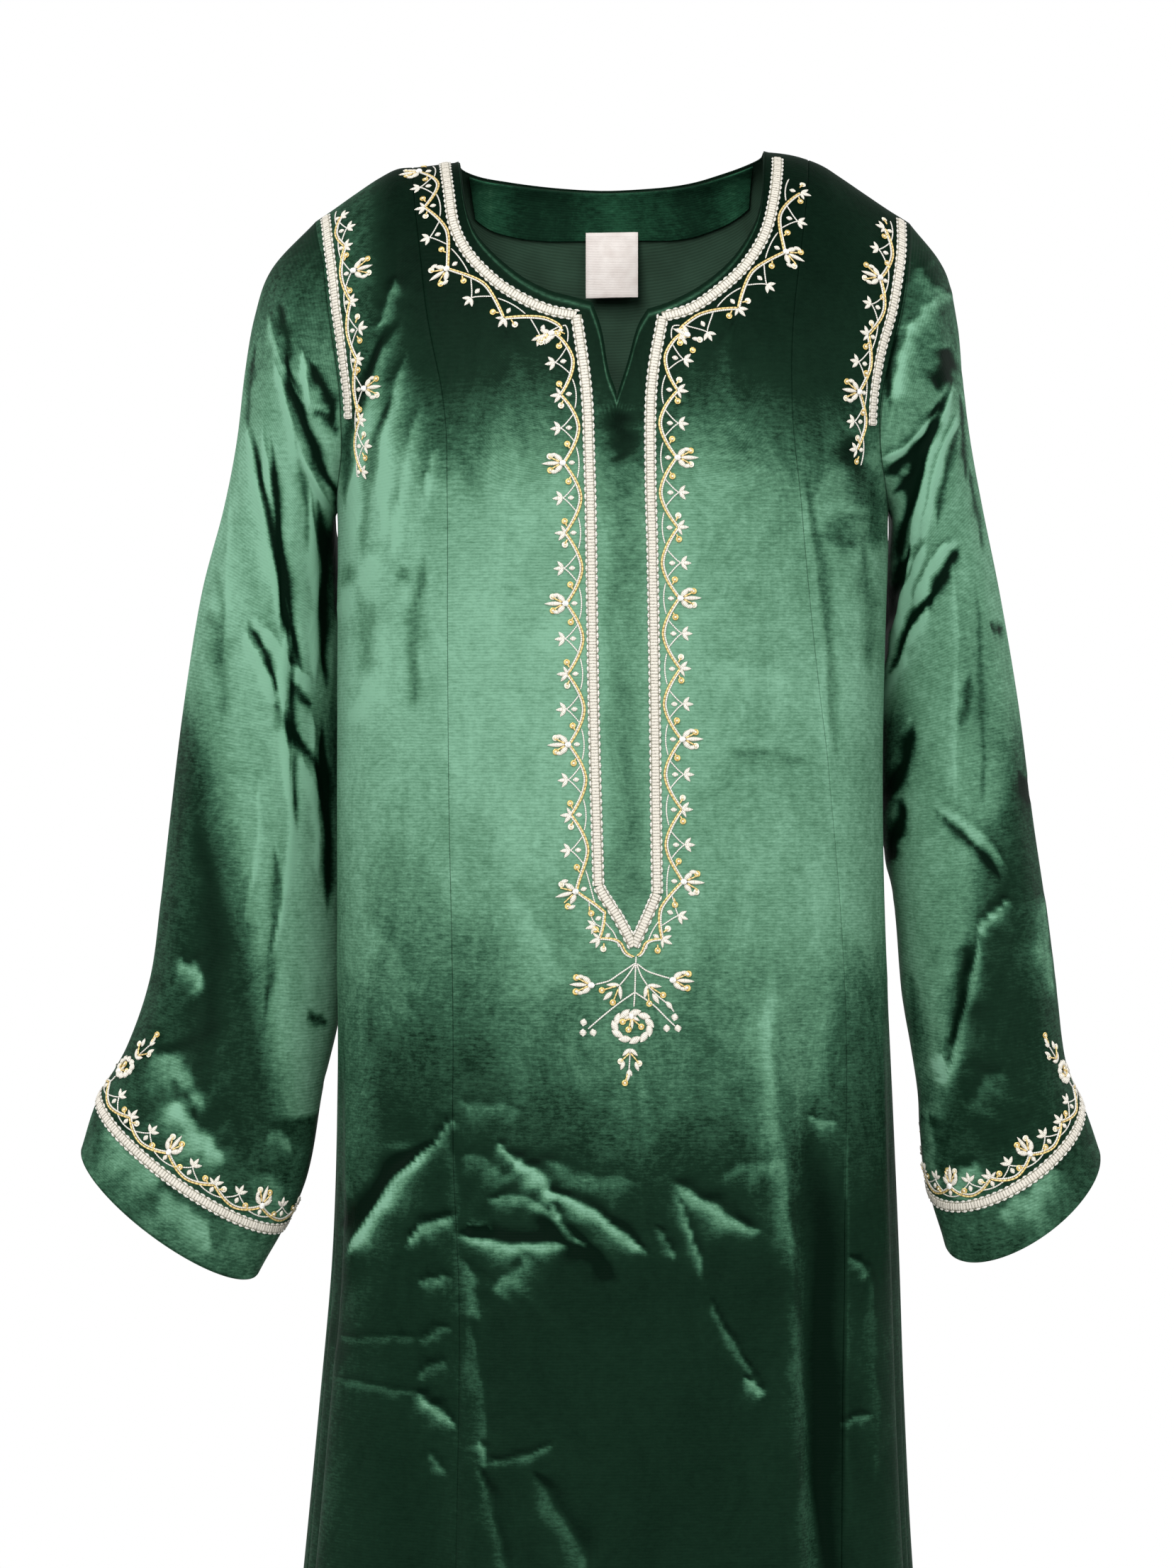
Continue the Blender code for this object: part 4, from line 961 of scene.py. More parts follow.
def enclosed(points, faces):
    """Signed volume inside a closed set of quads."""
    a, b, c, d = (points[faces[:, k]] for k in range(4))
    first = np.einsum("ij,ij->i", a, np.cross(b, c))
    second = np.einsum("ij,ij->i", a, np.cross(c, d))
    return (first + second).sum() / 6


def outward(points, faces):
    """The faces of a closed body, turned so that they look out of it."""
    return faces[:, ::-1] if enclosed(points - points[0], faces) < 0 else faces


def shell(
    name, grid, normals, painted_light, painted_crease_light, weave, thickness, closed=False, finishes=(VELVET, GROUND)
):
    """A closed cloth shell: the grid moved out and in by half its thickness, joined
    round every edge by a half round of three steps. Closed means its rows are rings."""
    rows, columns = grid.shape[:2]
    half = thickness / 2
    if np.ndim(half) == 2:
        half = half[..., None]
    half = np.broadcast_to(half, (rows, columns, 1))
    count = rows * columns
    index = np.arange(count).reshape(rows, columns)
    points = [(grid + normals * half).reshape(-1, 3), (grid - normals * half).reshape(-1, 3)]
    looped = np.concatenate((index, index[:, :1]), axis=1) if closed else index
    outer = quads(looped)
    faces = [outer, (outer + count)[:, ::-1]]
    if closed:
        loops = [index[0], index[-1]]
    else:
        sides = (index[0, :-1], index[:-1, -1], index[-1, :0:-1], index[:0:-1, 0])
        loops = [np.concatenate(sides)]
    flat = grid.reshape(-1, 3)
    flat_n = normals.reshape(-1, 3)
    flat_h = half.reshape(-1, 1)
    source = [np.arange(count), np.arange(count)]
    total = 2 * count
    middle = flat[index[rows // 2].ravel()].mean(axis=0)
    for ring in loops:
        here = flat[ring]
        along = unit(np.roll(here, -1, axis=0) - np.roll(here, 1, axis=0))
        out = unit(np.cross(along, flat_n[ring]))
        toward = here - middle
        if closed:
            inner_row = index[1] if ring[0] == index[0, 0] else index[-2]
            toward = here - flat[inner_row]
        if np.sum(out * toward) < 0:
            out = -out
        layers = [ring]
        for turn in (math.pi / 4, math.pi / 2, 3 * math.pi / 4):
            step = flat_n[ring] * math.cos(turn) + out * math.sin(turn)
            points.append(here + step * flat_h[ring])
            layers.append(np.arange(total, total + len(ring)))
            source.append(ring)
            total += len(ring)
        layers.append(ring + count)
        layers = np.stack(layers)
        faces.append(quads(np.concatenate((layers, layers[:, :1]), axis=1)))
    points = np.concatenate(points)
    rims = np.concatenate(faces[2:])
    body = np.concatenate(faces[:2])
    if enclosed(points, body) < 0:
        body = body[:, ::-1]
    rims = match_rims(body, rims)
    which = np.zeros(len(body) + len(rims), dtype=np.int32)
    which[len(faces[0]) : len(body)] = 1
    source = np.concatenate(source)
    # the painted sheen and shade and the painted crease light go to the velvet's colour
    attributes = {
        "painted_light": painted_light.reshape(-1)[source],
        "painted_crease_light": painted_crease_light.reshape(-1)[source],
        "weave": weave.reshape(-1, 3)[source],
    }
    return make_mesh(name, points, np.concatenate((body, rims)), finishes, which, attributes)


def match_rims(body, rims):
    """Turn the rim faces so that each shares its edge the other way round."""
    edges = np.concatenate([body[:, (k, (k + 1) % 4)] for k in range(4)])
    base = int(max(body.max(), rims.max())) + 1
    known = edges[:, 0] * base + edges[:, 1]
    for k in range(4):
        pair = rims[:, (k, (k + 1) % 4)]
        if np.isin(pair[:, 0] * base + pair[:, 1], known).any():
            return rims[:, ::-1]
    return rims


def weave_map(points):
    """Cloth coordinates in metres: run across each row and run down each column."""
    u = run_down(points.swapaxes(0, 1)).T
    v = run_down(points).mean(axis=1, keepdims=True)
    return np.stack((u, v + 0 * u, 0 * u), axis=-1)


def painted_tilt_shading(before, after):
    """Painted shade and highlight by tilt: cloth turned toward the floor is painted brighter and
    toward the ceiling darker.
    """
    return np.clip((before[..., 2] - after[..., 2]) * 1.1, -0.35, 0.35)


left_seam = seam_edge(1)
right_seam = seam_edge(2)
low = lower_falls()[1:]


def outer_edge(column):
    """The armhole edge, then the side seam straight down."""
    upper = armhole_edge(column)
    side = np.stack((np.full(len(low), upper[-1, 0]), low), axis=-1)
    return np.concatenate((upper, side))


left_edge = outer_edge(1)
right_edge = outer_edge(2)


def x_of(plan):
    return float(body_point(plan[:1], plan[1:], -1)[0, 0])


def top_run(x):
    """Angle and fall of points on the shoulder line."""
    return np.stack((angle_at(x, np.zeros_like(x)), np.zeros_like(x)), axis=-1)


left_top = top_run(np.linspace(x_of(left_edge[0]), x_of(left_seam[0]), SIDE_COLUMNS + 1))
right_top = top_run(np.linspace(x_of(right_seam[0]), x_of(right_edge[0]), SIDE_COLUMNS + 1))
neck_plan = spot(NECKLINE[:, 0], NECKLINE[:, 1])
neck_plan[0] = top_run(NECKLINE[:1, 0])[0]
neck_plan[-1] = top_run(NECKLINE[-1:, 0])[0]
neck_parts = []
for start, stop, steps in zip(NECK_CORNERS, NECK_CORNERS[1:], NECK_STEPS):
    part = smooth_line(neck_plan[start : stop + 1], steps)
    neck_parts.append(part if not neck_parts else part[1:])
neck_line = np.concatenate(neck_parts)
SHOULDER_STEPS = 9
left_shoulder = np.linspace(x_of(left_seam[0]), NECKLINE[0, 0], SHOULDER_STEPS + 1)
left_shoulder = top_run(left_shoulder)[:-1]
right_shoulder = np.linspace(NECKLINE[-1, 0], x_of(right_seam[0]), SHOULDER_STEPS + 1)
right_shoulder = top_run(right_shoulder)[1:]
centre_top = np.concatenate((left_shoulder, neck_line, right_shoulder))
left_seam[0] = left_top[-1]
right_seam[0] = right_top[0]
BACK_COLUMNS = 46
back_share = 0.5 - 0.5 * np.cos(math.pi * np.linspace(0, 1, BACK_COLUMNS + 1))
back_x = BACK_NECKLINE[0, 0] + (BACK_NECKLINE[-1, 0] - BACK_NECKLINE[0, 0]) * back_share
back_depth = np.maximum(hermite(BACK_NECKLINE, back_x), 0)
back_neck = np.stack((angle_at(back_x, back_depth), fall_of(back_depth)), axis=-1)
back_top = np.concatenate(
    (left_top[::2], left_shoulder[1:], back_neck, right_shoulder[:-1], right_top[::2])
)


class Panel:
    """One body panel: its bare surface, its creased surface, normals, and painted sheen and shade.
    """

    def __init__(self, top, left, right, side):
        plan = panel_plan(top, left, right)
        self.bare = body_point(plan[..., 0], plan[..., 1], side)
        self.bare_n = grid_normals(self.bare) * (1 if side < 0 else -1)
        height, painted_light = body_relief(self.bare, side)
        height = height * smooth_step(plan[..., 1] / CREASE_FADE)
        self.grid = self.bare + self.bare_n * height[..., None]
        self.normals = grid_normals(self.grid) * (1 if side < 0 else -1)
        # Painted light: shade and highlight by the creases' tilt and on their flanks, and the
        # broad painted sheen of the body.
        tilt = painted_tilt_shading(self.bare_n, self.normals)
        self.painted_light = painted_side_sheen(painted_body_sheen(self.bare), self.bare_n)
        self.painted_crease_light = painted_light * 0.85 + tilt
        self.weave = weave_map(self.bare)


centre = Panel(centre_top, left_seam, right_seam, -1)
left_front = Panel(left_top, left_edge, left_seam, -1)
right_front = Panel(right_top, right_seam, right_edge, -1)
back = Panel(back_top, left_edge, right_edge, 1)


def share_edge(one, one_at, other, other_at):
    """Give two meeting edges the same normals."""
    mean = unit(one.normals[one_at] + other.normals[other_at])
    one.normals[one_at] = mean
    other.normals[other_at] = mean


def pull(grid, first, second):
    """Draw one edge line back from its seam."""
    toward = unit(grid[second] - grid[first])
    grid[first] = grid[first] + toward * (SEAM_HALF_GAP + SHELL / 2 * 0.8)


share_edge(left_front, np.s_[:, -1], centre, np.s_[:, 0])
share_edge(right_front, np.s_[:, 0], centre, np.s_[:, -1])
share_edge(left_front, np.s_[UPPER_ROWS:, 0], back, np.s_[UPPER_ROWS:, 0])
share_edge(right_front, np.s_[UPPER_ROWS:, -1], back, np.s_[UPPER_ROWS:, -1])
share_edge(left_front, np.s_[0, ::2], back, np.s_[0, : SIDE_COLUMNS // 2 + 1])
share_edge(right_front, np.s_[0, ::2], back, np.s_[0, -SIDE_COLUMNS // 2 - 1 :])
for part in (left_front, right_front):
    part.normals[0, 1::2] = unit(part.normals[0, :-1:2] + part.normals[0, 2::2])


def armhole_ring(front, edge):
    """Points, normals and outward directions round one armhole: down the front's edge
    and up the back's."""
    inside = 1 if edge == 0 else -2
    made = []
    for part, rows in (
        (front, np.arange(UPPER_ROWS + 1)),
        (back, np.arange(UPPER_ROWS - 1, 0, -1)),
    ):
        here = part.grid[rows, edge]
        made.append((here, part.normals[rows, edge], unit(here - part.grid[rows, inside])))
    points, normals, away = (np.concatenate(both) for both in zip(*made))
    away[UPPER_ROWS] = (0.0, 0.0, 1.0)
    return points, normals, away


class Sleeve:
    """One sleeve as a closed tube of rows, creased like the body."""

    def __init__(self, table, creases, front, edge, sign):
        points, normals, away = armhole_ring(front, edge)
        start = points + away * (2 * SEAM_HALF_GAP)
        rough = sleeve_grid(table, start)
        leaving = unit(rough[2] - rough[0])
        rise = np.sum(leaving * normals, axis=1)
        lap = np.where(rise > 0, SHELL / 2 + 0.0008, 0.0) * smooth_step(rise * 4)
        self.bare = sleeve_grid(table, start + normals * lap[:, None])
        self.bare_n = grid_normals(self.bare, closed=True) * sign
        turn = 2 * math.pi * np.arange(self.bare.shape[1]) / self.bare.shape[1]
        back_share = smooth_step(0.5 - 1.6 * np.sin(turn))[None, :]
        height, painted_light = sleeve_relief(self.bare, creases, back_share)
        rows = np.linspace(0, 1, SLEEVE_ROWS)[:, None]
        edge_fade = smooth_step(rows / 0.05)
        below = smooth_step((-np.cos(turn) - 0.55) / 0.3)[None, :]
        underarm = 1 - below * smooth_step(1 - rows * 2)
        self.grid = self.bare + self.bare_n * (height * edge_fade * underarm)[..., None]
        self.normals = grid_normals(self.grid, closed=True) * sign
        # Painted light: shade and highlight by the creases' tilt and on their flanks, and the
        # broad painted sheen of the sleeve.
        tilt = painted_tilt_shading(self.bare_n, self.normals)
        self.painted_light = painted_side_sheen(painted_sleeve_sheen(self.bare, -sign), self.bare_n)
        self.painted_crease_light = painted_light + tilt
        wrapped = np.concatenate((self.bare, self.bare[:, :1]), axis=1)
        self.weave = weave_map(wrapped)[:, :-1]


left_sleeve = Sleeve(LEFT_SLEEVE, LEFT_SLEEVE_CREASES, left_front, 0, 1)
right_sleeve = Sleeve(RIGHT_SLEEVE, RIGHT_SLEEVE_CREASES, right_front, -1, -1)

for part, column, beside in (
    (centre, 0, 1),
    (centre, -1, -2),
    (left_front, -1, -2),
    (right_front, 0, 1),
):
    pull(part.grid, np.s_[:, column], np.s_[:, beside])
for part, column, beside in (
    (left_front, 0, 1),
    (right_front, -1, -2),
    (back, 0, 1),
    (back, -1, -2),
):
    pull(part.grid, np.s_[UPPER_ROWS:, column], np.s_[UPPER_ROWS:, beside])
for part in (left_front, right_front, back):
    pull(part.grid, np.s_[0, :], np.s_[1, :])


def finish_piece(thing, nodes=()):
    """Let a finished piece ride on the body and hide the imported parts it stands for."""
    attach(thing, "root")
    if nodes:
        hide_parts(*nodes)
    return thing


def rolled_edge(part):
    """Cloth thickness of the centre front: the folded neck edge swells to a soft roll,
    1.5 sqrt(1 - ((run - 2.2) / 2.2)^2) mm thicker over the first 4.4 mm, and a painted
    highlight lies along its lower flank."""
    run = run_down(part.grid)
    radius = 0.0022
    swell = np.sqrt(np.clip(1 - ((run - radius) / radius) ** 2, 0, 1))
    columns = np.arange(run.shape[1])
    last = run.shape[1] - 1 - SHOULDER_STEPS
    near_neck = ((columns >= SHOULDER_STEPS) & (columns <= last))[None, :]
    # painted highlight along the roll's lower flank
    part.painted_crease_light = part.painted_crease_light + 0.34 * bell(run - 0.0036, 0.0012) * near_neck
    return SHELL + 0.0015 * swell * near_neck


for name, part, closed in (
    ("centre_front", centre, False),
    ("left_side_front", left_front, False),
    ("right_side_front", right_front, False),
    ("back", back, False),
    ("left_sleeve", left_sleeve, True),
    ("right_sleeve", right_sleeve, True),
):
    thickness = rolled_edge(part) if name == "centre_front" else SHELL
    thing = shell(
        f"{name}_velvet", part.grid, part.normals, part.painted_light, part.painted_crease_light, part.weave, thickness,
        closed,
    )
    finish_piece(thing, (name,))

FACING_ROWS = 15
FACING_MIDDLE = 0.0003
FACING_HALF_WIDTH = 0.0852
FACING_START = 0.0004
FACING_DEEPER = 0.007
FACING_THICKNESS = 0.0012
FACING_LIFT = 0.0007
LABEL_THICKNESS = 0.0006


def facing_surface():
    """The back's inner face from its neck edge down, at equal runs of each column: a
    shaped strip, deeper at its ends, that ripples by less than half a millimetre."""
    columns = np.nonzero(np.abs(back.grid[0, :, 0] - FACING_MIDDLE) < FACING_HALF_WIDTH)[0]
    grid = back.grid[: UPPER_ROWS // 2, columns]
    normals = back.normals[: UPPER_ROWS // 2, columns]
    run = run_down(grid)
    share = np.linspace(0.0, 1.0, FACING_ROWS)
    depth = FACING_DEPTH + FACING_DEEPER * smooth_step(np.abs(grid[0, :, 0]) / 0.075)
    both = np.concatenate((grid, normals), axis=2)
    made = []
    for j in range(len(columns)):
        at = FACING_START + share * (depth[j] - FACING_START)
        made.append(np.stack([np.interp(at, run[:, j], both[:, j, k]) for k in range(6)], axis=-1))
    made = np.stack(made, axis=1)
    normals = unit(made[..., 3:])
    inset = SHELL / 2 + FACING_LIFT + FACING_THICKNESS / 2
    ripple = 0.0004 * np.sin(made[..., 0] * 210) * smooth_step(share / 0.6)[:, None]
    return made[..., :3] - normals * (inset + np.abs(ripple))[..., None], -normals


facing, facing_n = facing_surface()
# Painted sheen on the facing: an even tone with three brighter patches across it.
facing_painted_sheen = 0.24
for painted_glow, middle, width in ((0.40, -0.072, 0.014), (0.22, 0.01, 0.03), (0.30, 0.075, 0.012)):
    facing_painted_sheen = facing_painted_sheen + painted_glow * bell(facing[..., 0] - middle, width)
thing = shell(
    "back_neck_facing_velvet", facing, facing_n, facing_painted_sheen, facing_painted_sheen * 0,
    weave_map(facing), FACING_THICKNESS, finishes=(FACING_VELVET, GROUND),
)
facing_piece = finish_piece(thing, ("back_neck_facing",))


def label_surface():
    """Label cloth hanging from the facing's lower edge, bowed a little to the front."""
    across = LABEL_MIDDLE + np.linspace(-LABEL_WIDTH / 2, LABEL_WIDTH / 2, 15)
    drop = np.linspace(0, LABEL_HEIGHT, 17)
    row = facing[FACING_ROWS - 3]
    y = np.interp(across, row[:, 0], row[:, 1]) - FACING_THICKNESS / 2 - LABEL_THICKNESS
    z = np.interp(across, row[:, 0], row[:, 2])
    share = (across - LABEL_MIDDLE) / (LABEL_WIDTH / 2)
    bow = 0.0016 * (1 - share**2)[None, :] * smooth_step(drop / 0.02)[:, None]
    lean = 0.0012 * share[None, :] * (drop / LABEL_HEIGHT)[:, None]
    x = np.broadcast_to(across, bow.shape)
    y = np.broadcast_to(y, bow.shape) - bow - lean
    z = z[None, :] - drop[:, None]
    return np.stack((x, y, z), axis=-1)


label = label_surface()
thing = shell(
    "label_cloth", label, grid_normals(label), label[..., 0] * 0, label[..., 0] * 0,
    weave_map(label), LABEL_THICKNESS, finishes=(SATIN, SATIN),
)
label_piece = finish_piece(thing, ("label",))


class FrontSkin:
    """The front for whatever lies on it; a plan is angle and fall."""

    step = 1e-4
    steps = ((step, 0.0), (0.0, step))

    def bare(self, plan):
        """Points on the middle of the uncreased cloth and their normals."""
        step = self.step
        angle = plan[..., 0]
        fall = np.maximum(plan[..., 1], 2 * step)
        side = body_point(angle + step, fall, -1) - body_point(angle - step, fall, -1)
        down = body_point(angle, fall + step, -1) - body_point(angle, fall - step, -1)
        return body_point(angle, fall, -1), unit(np.cross(down, side))

    def place(self, plan):
        """Points on the outer face of the creased cloth and their normals."""
        point, normal = self.bare(plan)
        fall = np.maximum(plan[..., 1], 2 * self.step)
        height = body_relief(point, -1)[0] * smooth_step(fall / CREASE_FADE)
        return point + normal * (height + SHELL / 2)[..., None], normal


class CuffSkin:
    """The lower sleeve for whatever lies on it; a plan is turns round the sleeve and
    distance from its edge, looked up every half millimetre."""

    steps = ((2e-3, 0.0), (0.0, 1e-3))
    spacing = 0.0005

    def __init__(self, sleeve):
        grid = sleeve.grid[::-1]
        run = run_down(grid)
        self.count = grid.shape[1]
        at = np.arange(0, 0.2, self.spacing)
        both = np.concatenate((grid, sleeve.normals[::-1]), axis=2)
        columns = [
            np.stack([np.interp(at, run[:, j], both[:, j, k]) for k in range(6)], axis=-1)
            for j in range(self.count)
        ]
        self.table = np.stack(columns, axis=1)

    def place(self, plan):
        """Points on the outer face and their normals, bilinear in the table."""
        turn = (plan[..., 0] % 1.0) * self.count
        row = np.clip(plan[..., 1] / self.spacing, 0, len(self.table) - 1.001)
        j = np.floor(turn).astype(int) % self.count
        i = np.floor(row).astype(int)
        u = (turn - np.floor(turn))[..., None]
        v = (row - i)[..., None]
        k = (j + 1) % self.count
        near = self.table[i, j] * (1 - u) + self.table[i, k] * u
        far = self.table[i + 1, j] * (1 - u) + self.table[i + 1, k] * u
        mixed = near * (1 - v) + far * v
        normal = unit(mixed[..., 3:])
        return mixed[..., :3] + normal * SHELL / 2, normal

    bare = place


def pull_back(skin, plan, vector):
    """Plan step that moves a point by this vector: least squares in the two tangents."""
    tangents = []
    for step in skin.steps:
        ahead = skin.bare(plan + np.array(step))[0]
        behind = skin.bare(plan - np.array(step))[0]
        tangents.append((ahead - behind) / (2 * max(step)))
    a, b = tangents
    aa, ab, bb = (np.sum(p * q, axis=-1) for p, q in ((a, a), (a, b), (b, b)))
    av = np.sum(a * vector, axis=-1)
    bv = np.sum(b * vector, axis=-1)
    scale = (aa * bb - ab**2)[..., None]
    return np.stack((bb * av - ab * bv, aa * bv - ab * av), axis=-1) / scale


class Border:
    """Places beside a line on a skin: s runs along the line and d away from it."""

    def __init__(self, skin, plan, side):
        point, normal = skin.bare(plan)
        self.run = run_along(point)
        away = side * unit(np.cross(normal, unit(np.gradient(point, axis=0))))
        self.columns = np.concatenate((plan, pull_back(skin, plan, away)), axis=1)
        self.skin = skin
        self.side = side
        self.length = self.run[-1]
        self.point = point

    def at(self, s, d):
        """Points on the outer face and their normals."""
        a, b, p, q = (np.interp(s, self.run, self.columns[:, k]) for k in range(4))
        return self.skin.place(np.stack((a + d * p, b + d * q), axis=-1))


class Hanging:
    """Places below a point of the front: a to the right and b down."""

    side = -1

    def __init__(self, skin, x, z):
        self.skin = skin
        self.x = x
        self.z = z

    def at(self, a, b):
        return self.skin.place(spot(self.x + np.asarray(a), self.z - np.asarray(b)))


def tube_faces(index):
    """Faces round and across the ends of a tube whose rows are rings of point numbers."""
    sides = index.shape[1]
    fan = [(0, k, k + 1, k + 2) for k in range(1, sides - 2, 2)]
    caps = [index[0][list(f)[::-1]] for f in fan] + [index[-1][list(f)] for f in fan]
    around = quads(np.concatenate((index, index[:, :1]), axis=1))
    return np.concatenate((around, np.array(caps)))


def ring_body(lengths, widths, heights, sides):
    """Points and faces of elliptical rings along Y, closed by caps."""
    turn = 2 * math.pi * np.arange(sides) / sides
    x = widths[:, None] * np.cos(turn)
    z = heights[:, None] * np.sin(turn)
    y = np.broadcast_to(lengths[:, None], x.shape)
    points = np.stack((x, y, z), axis=-1).reshape(-1, 3)
    index = np.arange(len(points)).reshape(len(lengths), sides)
    return points, outward(points, tube_faces(index))


def petal_body(fullness, rows=7):
    """A padded leaf: half width sin(pi u^fullness)^0.8 and height sin(pi u)^0.6."""
    u = np.linspace(0.006, 0.994, rows)
    width = np.sin(math.pi * u**fullness) ** 0.8 + 0.02
    return ring_body(u, width, np.sin(math.pi * u) ** 0.6 + 0.02, 6)


def bead_body():
    """A ball as rings along Y."""
    turn = np.linspace(0.2, math.pi - 0.2, 6)
    return ring_body(-np.cos(turn), np.sin(turn), np.sin(turn), 8)


def sequin_body():
    """A shallow cup of radius 1 with a raised rim and a hole, turned round Z."""
    profile = np.array(
        ((0.22, 0.14), (0.6, 0.12), (1.0, 0.46), (0.9, 0.18), (0.5, -0.06), (0.22, 0.02))
    )
    sides = 10
    turn = 2 * math.pi * np.arange(sides) / sides
    x = profile[:, :1] * np.cos(turn)
    y = profile[:, :1] * np.sin(turn)
    z = np.broadcast_to(profile[:, 1:], x.shape)
    points = np.stack((x, y, z), axis=-1).reshape(-1, 3)
    index = np.arange(len(points)).reshape(len(profile), sides)
    wrapped = np.concatenate((index, index[:, :1]), axis=1)
    return points, outward(points, quads(np.concatenate((wrapped, wrapped[:1]))))


def stick_body():
    """A short tube along Y from 0 to 1."""
    u = np.array((0.0, 0.08, 0.92, 1.0))
    full = np.array((0.75, 1.0, 1.0, 0.75))
    return ring_body(u, full, full, 6)


BODIES = {
    "petal": petal_body(0.85),
    "dash": petal_body(1.0, 5),
    "bead": bead_body(),
    "sequin": sequin_body(),
    "stick": stick_body(),
}
THREADS = (SILVER, GOLD, CREAM, SEQUIN, PALE_SEQUIN, BEAD, BRAID_CORE, BRAID_BASE_AND_SHADE)
SILVER_AT, GOLD_AT, CREAM_AT, SEQUIN_AT, PALE_AT, BEAD_AT, CORE_AT, BASE_AND_SHADE_AT = range(8)
# radii of the gold cord, the silver cord, a stem and a tendril; spacing of their rings
GOLD_CORD = 0.00058
SILVER_CORD = 0.00055
STEM = 0.00048
TENDRIL = 0.00042
CORD_SIDES = 6
CORD_STEP = 0.0009


class Needlework:
    """Collects the many small bodies of one border and makes them one mesh."""

    def __init__(self):
        self.points = []
        self.faces = []
        self.which = []
        self.weave = []
        self.total = 0
        self.stamps = {}

    def take(self, points, faces, weave, finish):
        self.points.append(points)
        self.faces.append(faces + self.total)
        self.which.append(np.full(len(faces), finish))
        self.weave.append(weave)
        self.total += len(points)

    def stamp(self, body, spot_at, a, b, angle, size, finish, lift=0.0):
        """Set a body at (a, b) beside a spot, its Y turned by the angle from away to
        along. Every length here is in millimetres and the angle in degrees."""
        surface, s, d = spot_at
        row = (s + a * MM, d + b * MM, math.radians(angle), *(v * MM for v in size), lift * MM)
        self.stamps.setdefault((body, finish, surface), []).append(row)

    def set_stamps(self):
        """Turn all stamps into points at once: each stands on the surface at its own
        place, its axes along the line, away from it and up."""
        for (body, finish, surface), rows in self.stamps.items():
            template, faces = BODIES[body]
            s, d, turn, wide, long, high, lift = np.array(rows).T
            place, normal = surface.at(s, d)
            along = surface.at(s + 0.001, d)[0] - surface.at(s - 0.001, d)[0]
            along = unit(along - normal * np.sum(along * normal, axis=1)[:, None])
            away = surface.side * np.cross(normal, along)
            cosine = np.cos(turn)[:, None]
            sine = np.sin(turn)[:, None]
            axes = (along * cosine - away * sine, away * cosine + along * sine, normal)
            scaled = template[None] * np.stack((wide, long, high), axis=-1)[:, None]
            points = (place + normal * lift[:, None])[:, None]
            for k, axis in enumerate(axes):
                points = points + scaled[..., k : k + 1] * axis[:, None]
            shift = np.arange(len(rows))[:, None, None] * len(template)
            self.take(
                points.reshape(-1, 3),
                (faces[None] + shift).reshape(-1, 4),
                scaled.reshape(-1, 3),
                finish,
            )
        self.stamps = {}

    def trace(self, spot_at, places, radius, finish):
        """A cord through places (a, b) beside a spot, in millimetres."""
        surface, s, d = spot_at
        line = np.array(places, dtype=float) * MM
        line = smooth_line(line, max(6, int(run_along(line)[-1] / CORD_STEP)))
        self.along(surface, s + line[:, 0], d + line[:, 1], radius, finish)

    def along(self, surface, s, d, radius, finish):
        """A round cord through the places (s, d) of a surface, lying in the pile."""
        points, normals = surface.at(s, d)
        tangent = unit(np.gradient(points, axis=0))
        up = unit(normals - tangent * np.sum(normals * tangent, axis=1)[:, None])
        across = np.cross(tangent, up)
        turn = 2 * math.pi * np.arange(CORD_SIDES) / CORD_SIDES
        thick = np.full(len(points), radius)
        thick[0] *= 0.4
        thick[-1] *= 0.4
        ring = across[:, None] * np.cos(turn)[None, :, None]
        ring = ring + up[:, None] * np.sin(turn)[None, :, None]
        body = (points + up * radius * 0.7)[:, None] + ring * thick[:, None, None]
        run = run_along(points)[:, None]
        weave = np.stack(np.broadcast_arrays(turn[None] * radius, run, 0.0), axis=-1)
        flat = body.reshape(-1, 3)
        faces = tube_faces(np.arange(len(flat)).reshape(-1, CORD_SIDES))
        self.take(flat, outward(flat, faces), weave.reshape(-1, 3), finish)

    def slab(self, low, high, weave, finish, closed=False):
        """A closed body between two grids of the same shape."""
        rows, columns = low.shape[:2]
        points = np.concatenate((high.reshape(-1, 3), low.reshape(-1, 3)))
        count = rows * columns
        index = np.arange(count).reshape(rows, columns)
        if closed:
            index = np.concatenate((index, index[:1]))
        parts = [quads(index), quads(index)[:, ::-1] + count]
        rims = [index[:, 0][::-1], index[:, -1]]
        if not closed:
            rims += [index[0], index[-1][::-1]]
        for rim in rims:
            corners = (rim[:-1], rim[1:], rim[1:] + count, rim[:-1] + count)
            parts.append(np.stack(corners, axis=-1))
        both = np.concatenate((weave.reshape(-1, 3), weave.reshape(-1, 3)))
        self.take(points, outward(points, np.concatenate(parts)), both, finish)

    def finish(self, name, slot, nodes=()):
        self.set_stamps()
        thing = make_mesh(
            name,
            np.concatenate(self.points),
            np.concatenate(self.faces),
            THREADS,
            np.concatenate(self.which),
            {"weave": np.concatenate(self.weave)},
        )
        return finish_piece(thing, nodes)


def polar(length, degrees):
    """A step of this length, turned by the angle from away to along."""
    turn = math.radians(degrees)
    return length * math.sin(turn), length * math.cos(turn)


def sprig(work, spot_at):
    """Three small leaves that open away from the braid."""
    for angle, length in ((-50, 5.2), (2, 5.8), (50, 5.3)):
        work.stamp("petal", spot_at, 0, 0, angle, (1.2, length, 0.6), CREAM_AT, 0.25)


